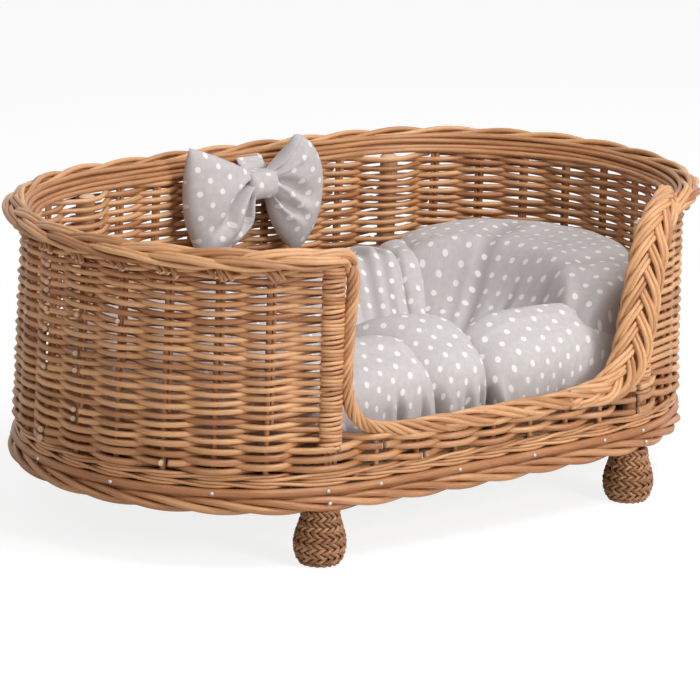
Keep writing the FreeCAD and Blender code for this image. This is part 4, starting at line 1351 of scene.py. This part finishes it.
# ---------------------------------------------------------------------------
# Camera, light and floor.
# ---------------------------------------------------------------------------
def place_camera():
    """A long lens out to the left of the front, looking down a little and held slightly askew."""
    azimuth, elevation, roll = np.radians([-39.83, 14.17, 2.04])
    distance, lens = 4.2, 216.6
    target = Vector((0, 0, 0.1373))
    back = Vector(
        (
            math.sin(azimuth) * math.cos(elevation),
            -math.cos(azimuth) * math.cos(elevation),
            math.sin(elevation),
        )
    )
    right = (-back).cross(Vector((0, 0, 1))).normalized()
    up = right.cross(-back)
    tilted_right = right * math.cos(roll) + up * math.sin(roll)
    tilted_up = up * math.cos(roll) - right * math.sin(roll)
    data = bpy.data.cameras.new("camera")
    data.lens = lens
    data.sensor_width = 36
    data.shift_x = -0.0066
    data.clip_end = 50
    camera = bpy.data.objects.new("camera", data)
    camera.matrix_world = Matrix(
        (
            (tilted_right.x, tilted_up.x, back.x, target.x + back.x * distance),
            (tilted_right.y, tilted_up.y, back.y, target.y + back.y * distance),
            (tilted_right.z, tilted_up.z, back.z, target.z + back.z * distance),
            (0, 0, 0, 1),
        )
    )
    bpy.context.scene.collection.objects.link(camera)
    bpy.context.scene.camera = camera


def light_studio():
    """A room that looks white but lights the bed only a little, and three softboxes."""
    scene = bpy.context.scene
    scene.view_settings.view_transform = "Standard"
    world = bpy.data.worlds.new("soft_white_room")
    world.use_nodes = True
    tree = world.node_tree
    tree.nodes.clear()
    path = add(tree, "LightPath").outputs
    seen = add(tree, "Math", {0: path["Is Camera Ray"], 1: path["Is Glossy Ray"]}, operation="MAXIMUM")
    seen = add(tree, "Math", {0: seen.outputs[0], 1: path["Is Transmission Ray"]}, operation="MAXIMUM")
    room = add(tree, "Background", {"Color": (1, 1, 1, 1), "Strength": 0.24})
    white = add(tree, "Background", {"Color": (1, 1, 1, 1), "Strength": 1.0})
    mixed = add(tree, "MixShader", {0: seen.outputs[0], 1: room.outputs[0], 2: white.outputs[0]})
    add(tree, "OutputWorld", {"Surface": mixed.outputs[0]})
    scene.world = world
    for name, place, size, power in (
        ("key_softbox", (0.7, -3.3, 1.55), 1.0, 51),
        ("side_softbox", (-2.8, -1.6, 2.2), 1.4, 12),
        ("top_softbox", (0.5, -1.2, 2.8), 1.4, 48),
    ):
        lamp = bpy.data.lights.new(name, "AREA")
        lamp.size = size
        lamp.energy = power
        obj = bpy.data.objects.new(name, lamp)
        obj.location = place
        aim = Vector((0, 0, 0.15)) - Vector(place)
        obj.rotation_euler = aim.to_track_quat("-Z", "Y").to_euler()
        scene.collection.objects.link(obj)


def lay_floor():
    """Plain white floor that keeps the bed's shadow."""
    material, tree, shader = new_material("white_floor")
    feed(tree, shader, {"Base Color": (0.92, 0.92, 0.92, 1), "Roughness": 0.9})
    path = add(tree, "LightPath").outputs
    seen = add(tree, "Math", {0: path["Is Camera Ray"], 1: 0.72}, operation="MULTIPLY").outputs[0]
    glow = add(tree, "Emission", {"Color": (1, 1, 1, 1), "Strength": 1.16})
    mixed = add(tree, "MixShader", {0: seen, 1: shader.outputs[0], 2: glow.outputs[0]})
    out = next(n for n in tree.nodes if n.type == "OUTPUT_MATERIAL")
    feed(tree, out, {"Surface": mixed.outputs[0]})
    square = np.array([[-8, -8, 0], [8, -8, 0], [8, 8, 0], [-8, 8, 0]], float)
    floor = make_mesh("floor", square, [np.array([[0, 1, 2, 3]])], {})
    floor.data.materials.append(material)


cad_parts["base_board"].data.materials.clear()
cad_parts["base_board"].data.materials.append(CHIPBOARD)
weave_wall()
wrap_wall_edges()
stand_stakes()
stand_posts()
lay_waling()
bend_hoop()
drive_nails()
twist_foot_border()
plait_rim()
trim_stake_ends()
trim_entrance()
plait_entrance()
weave_feet()
stuff_cushion()
tie_bow()
place_camera()
light_studio()
lay_floor()
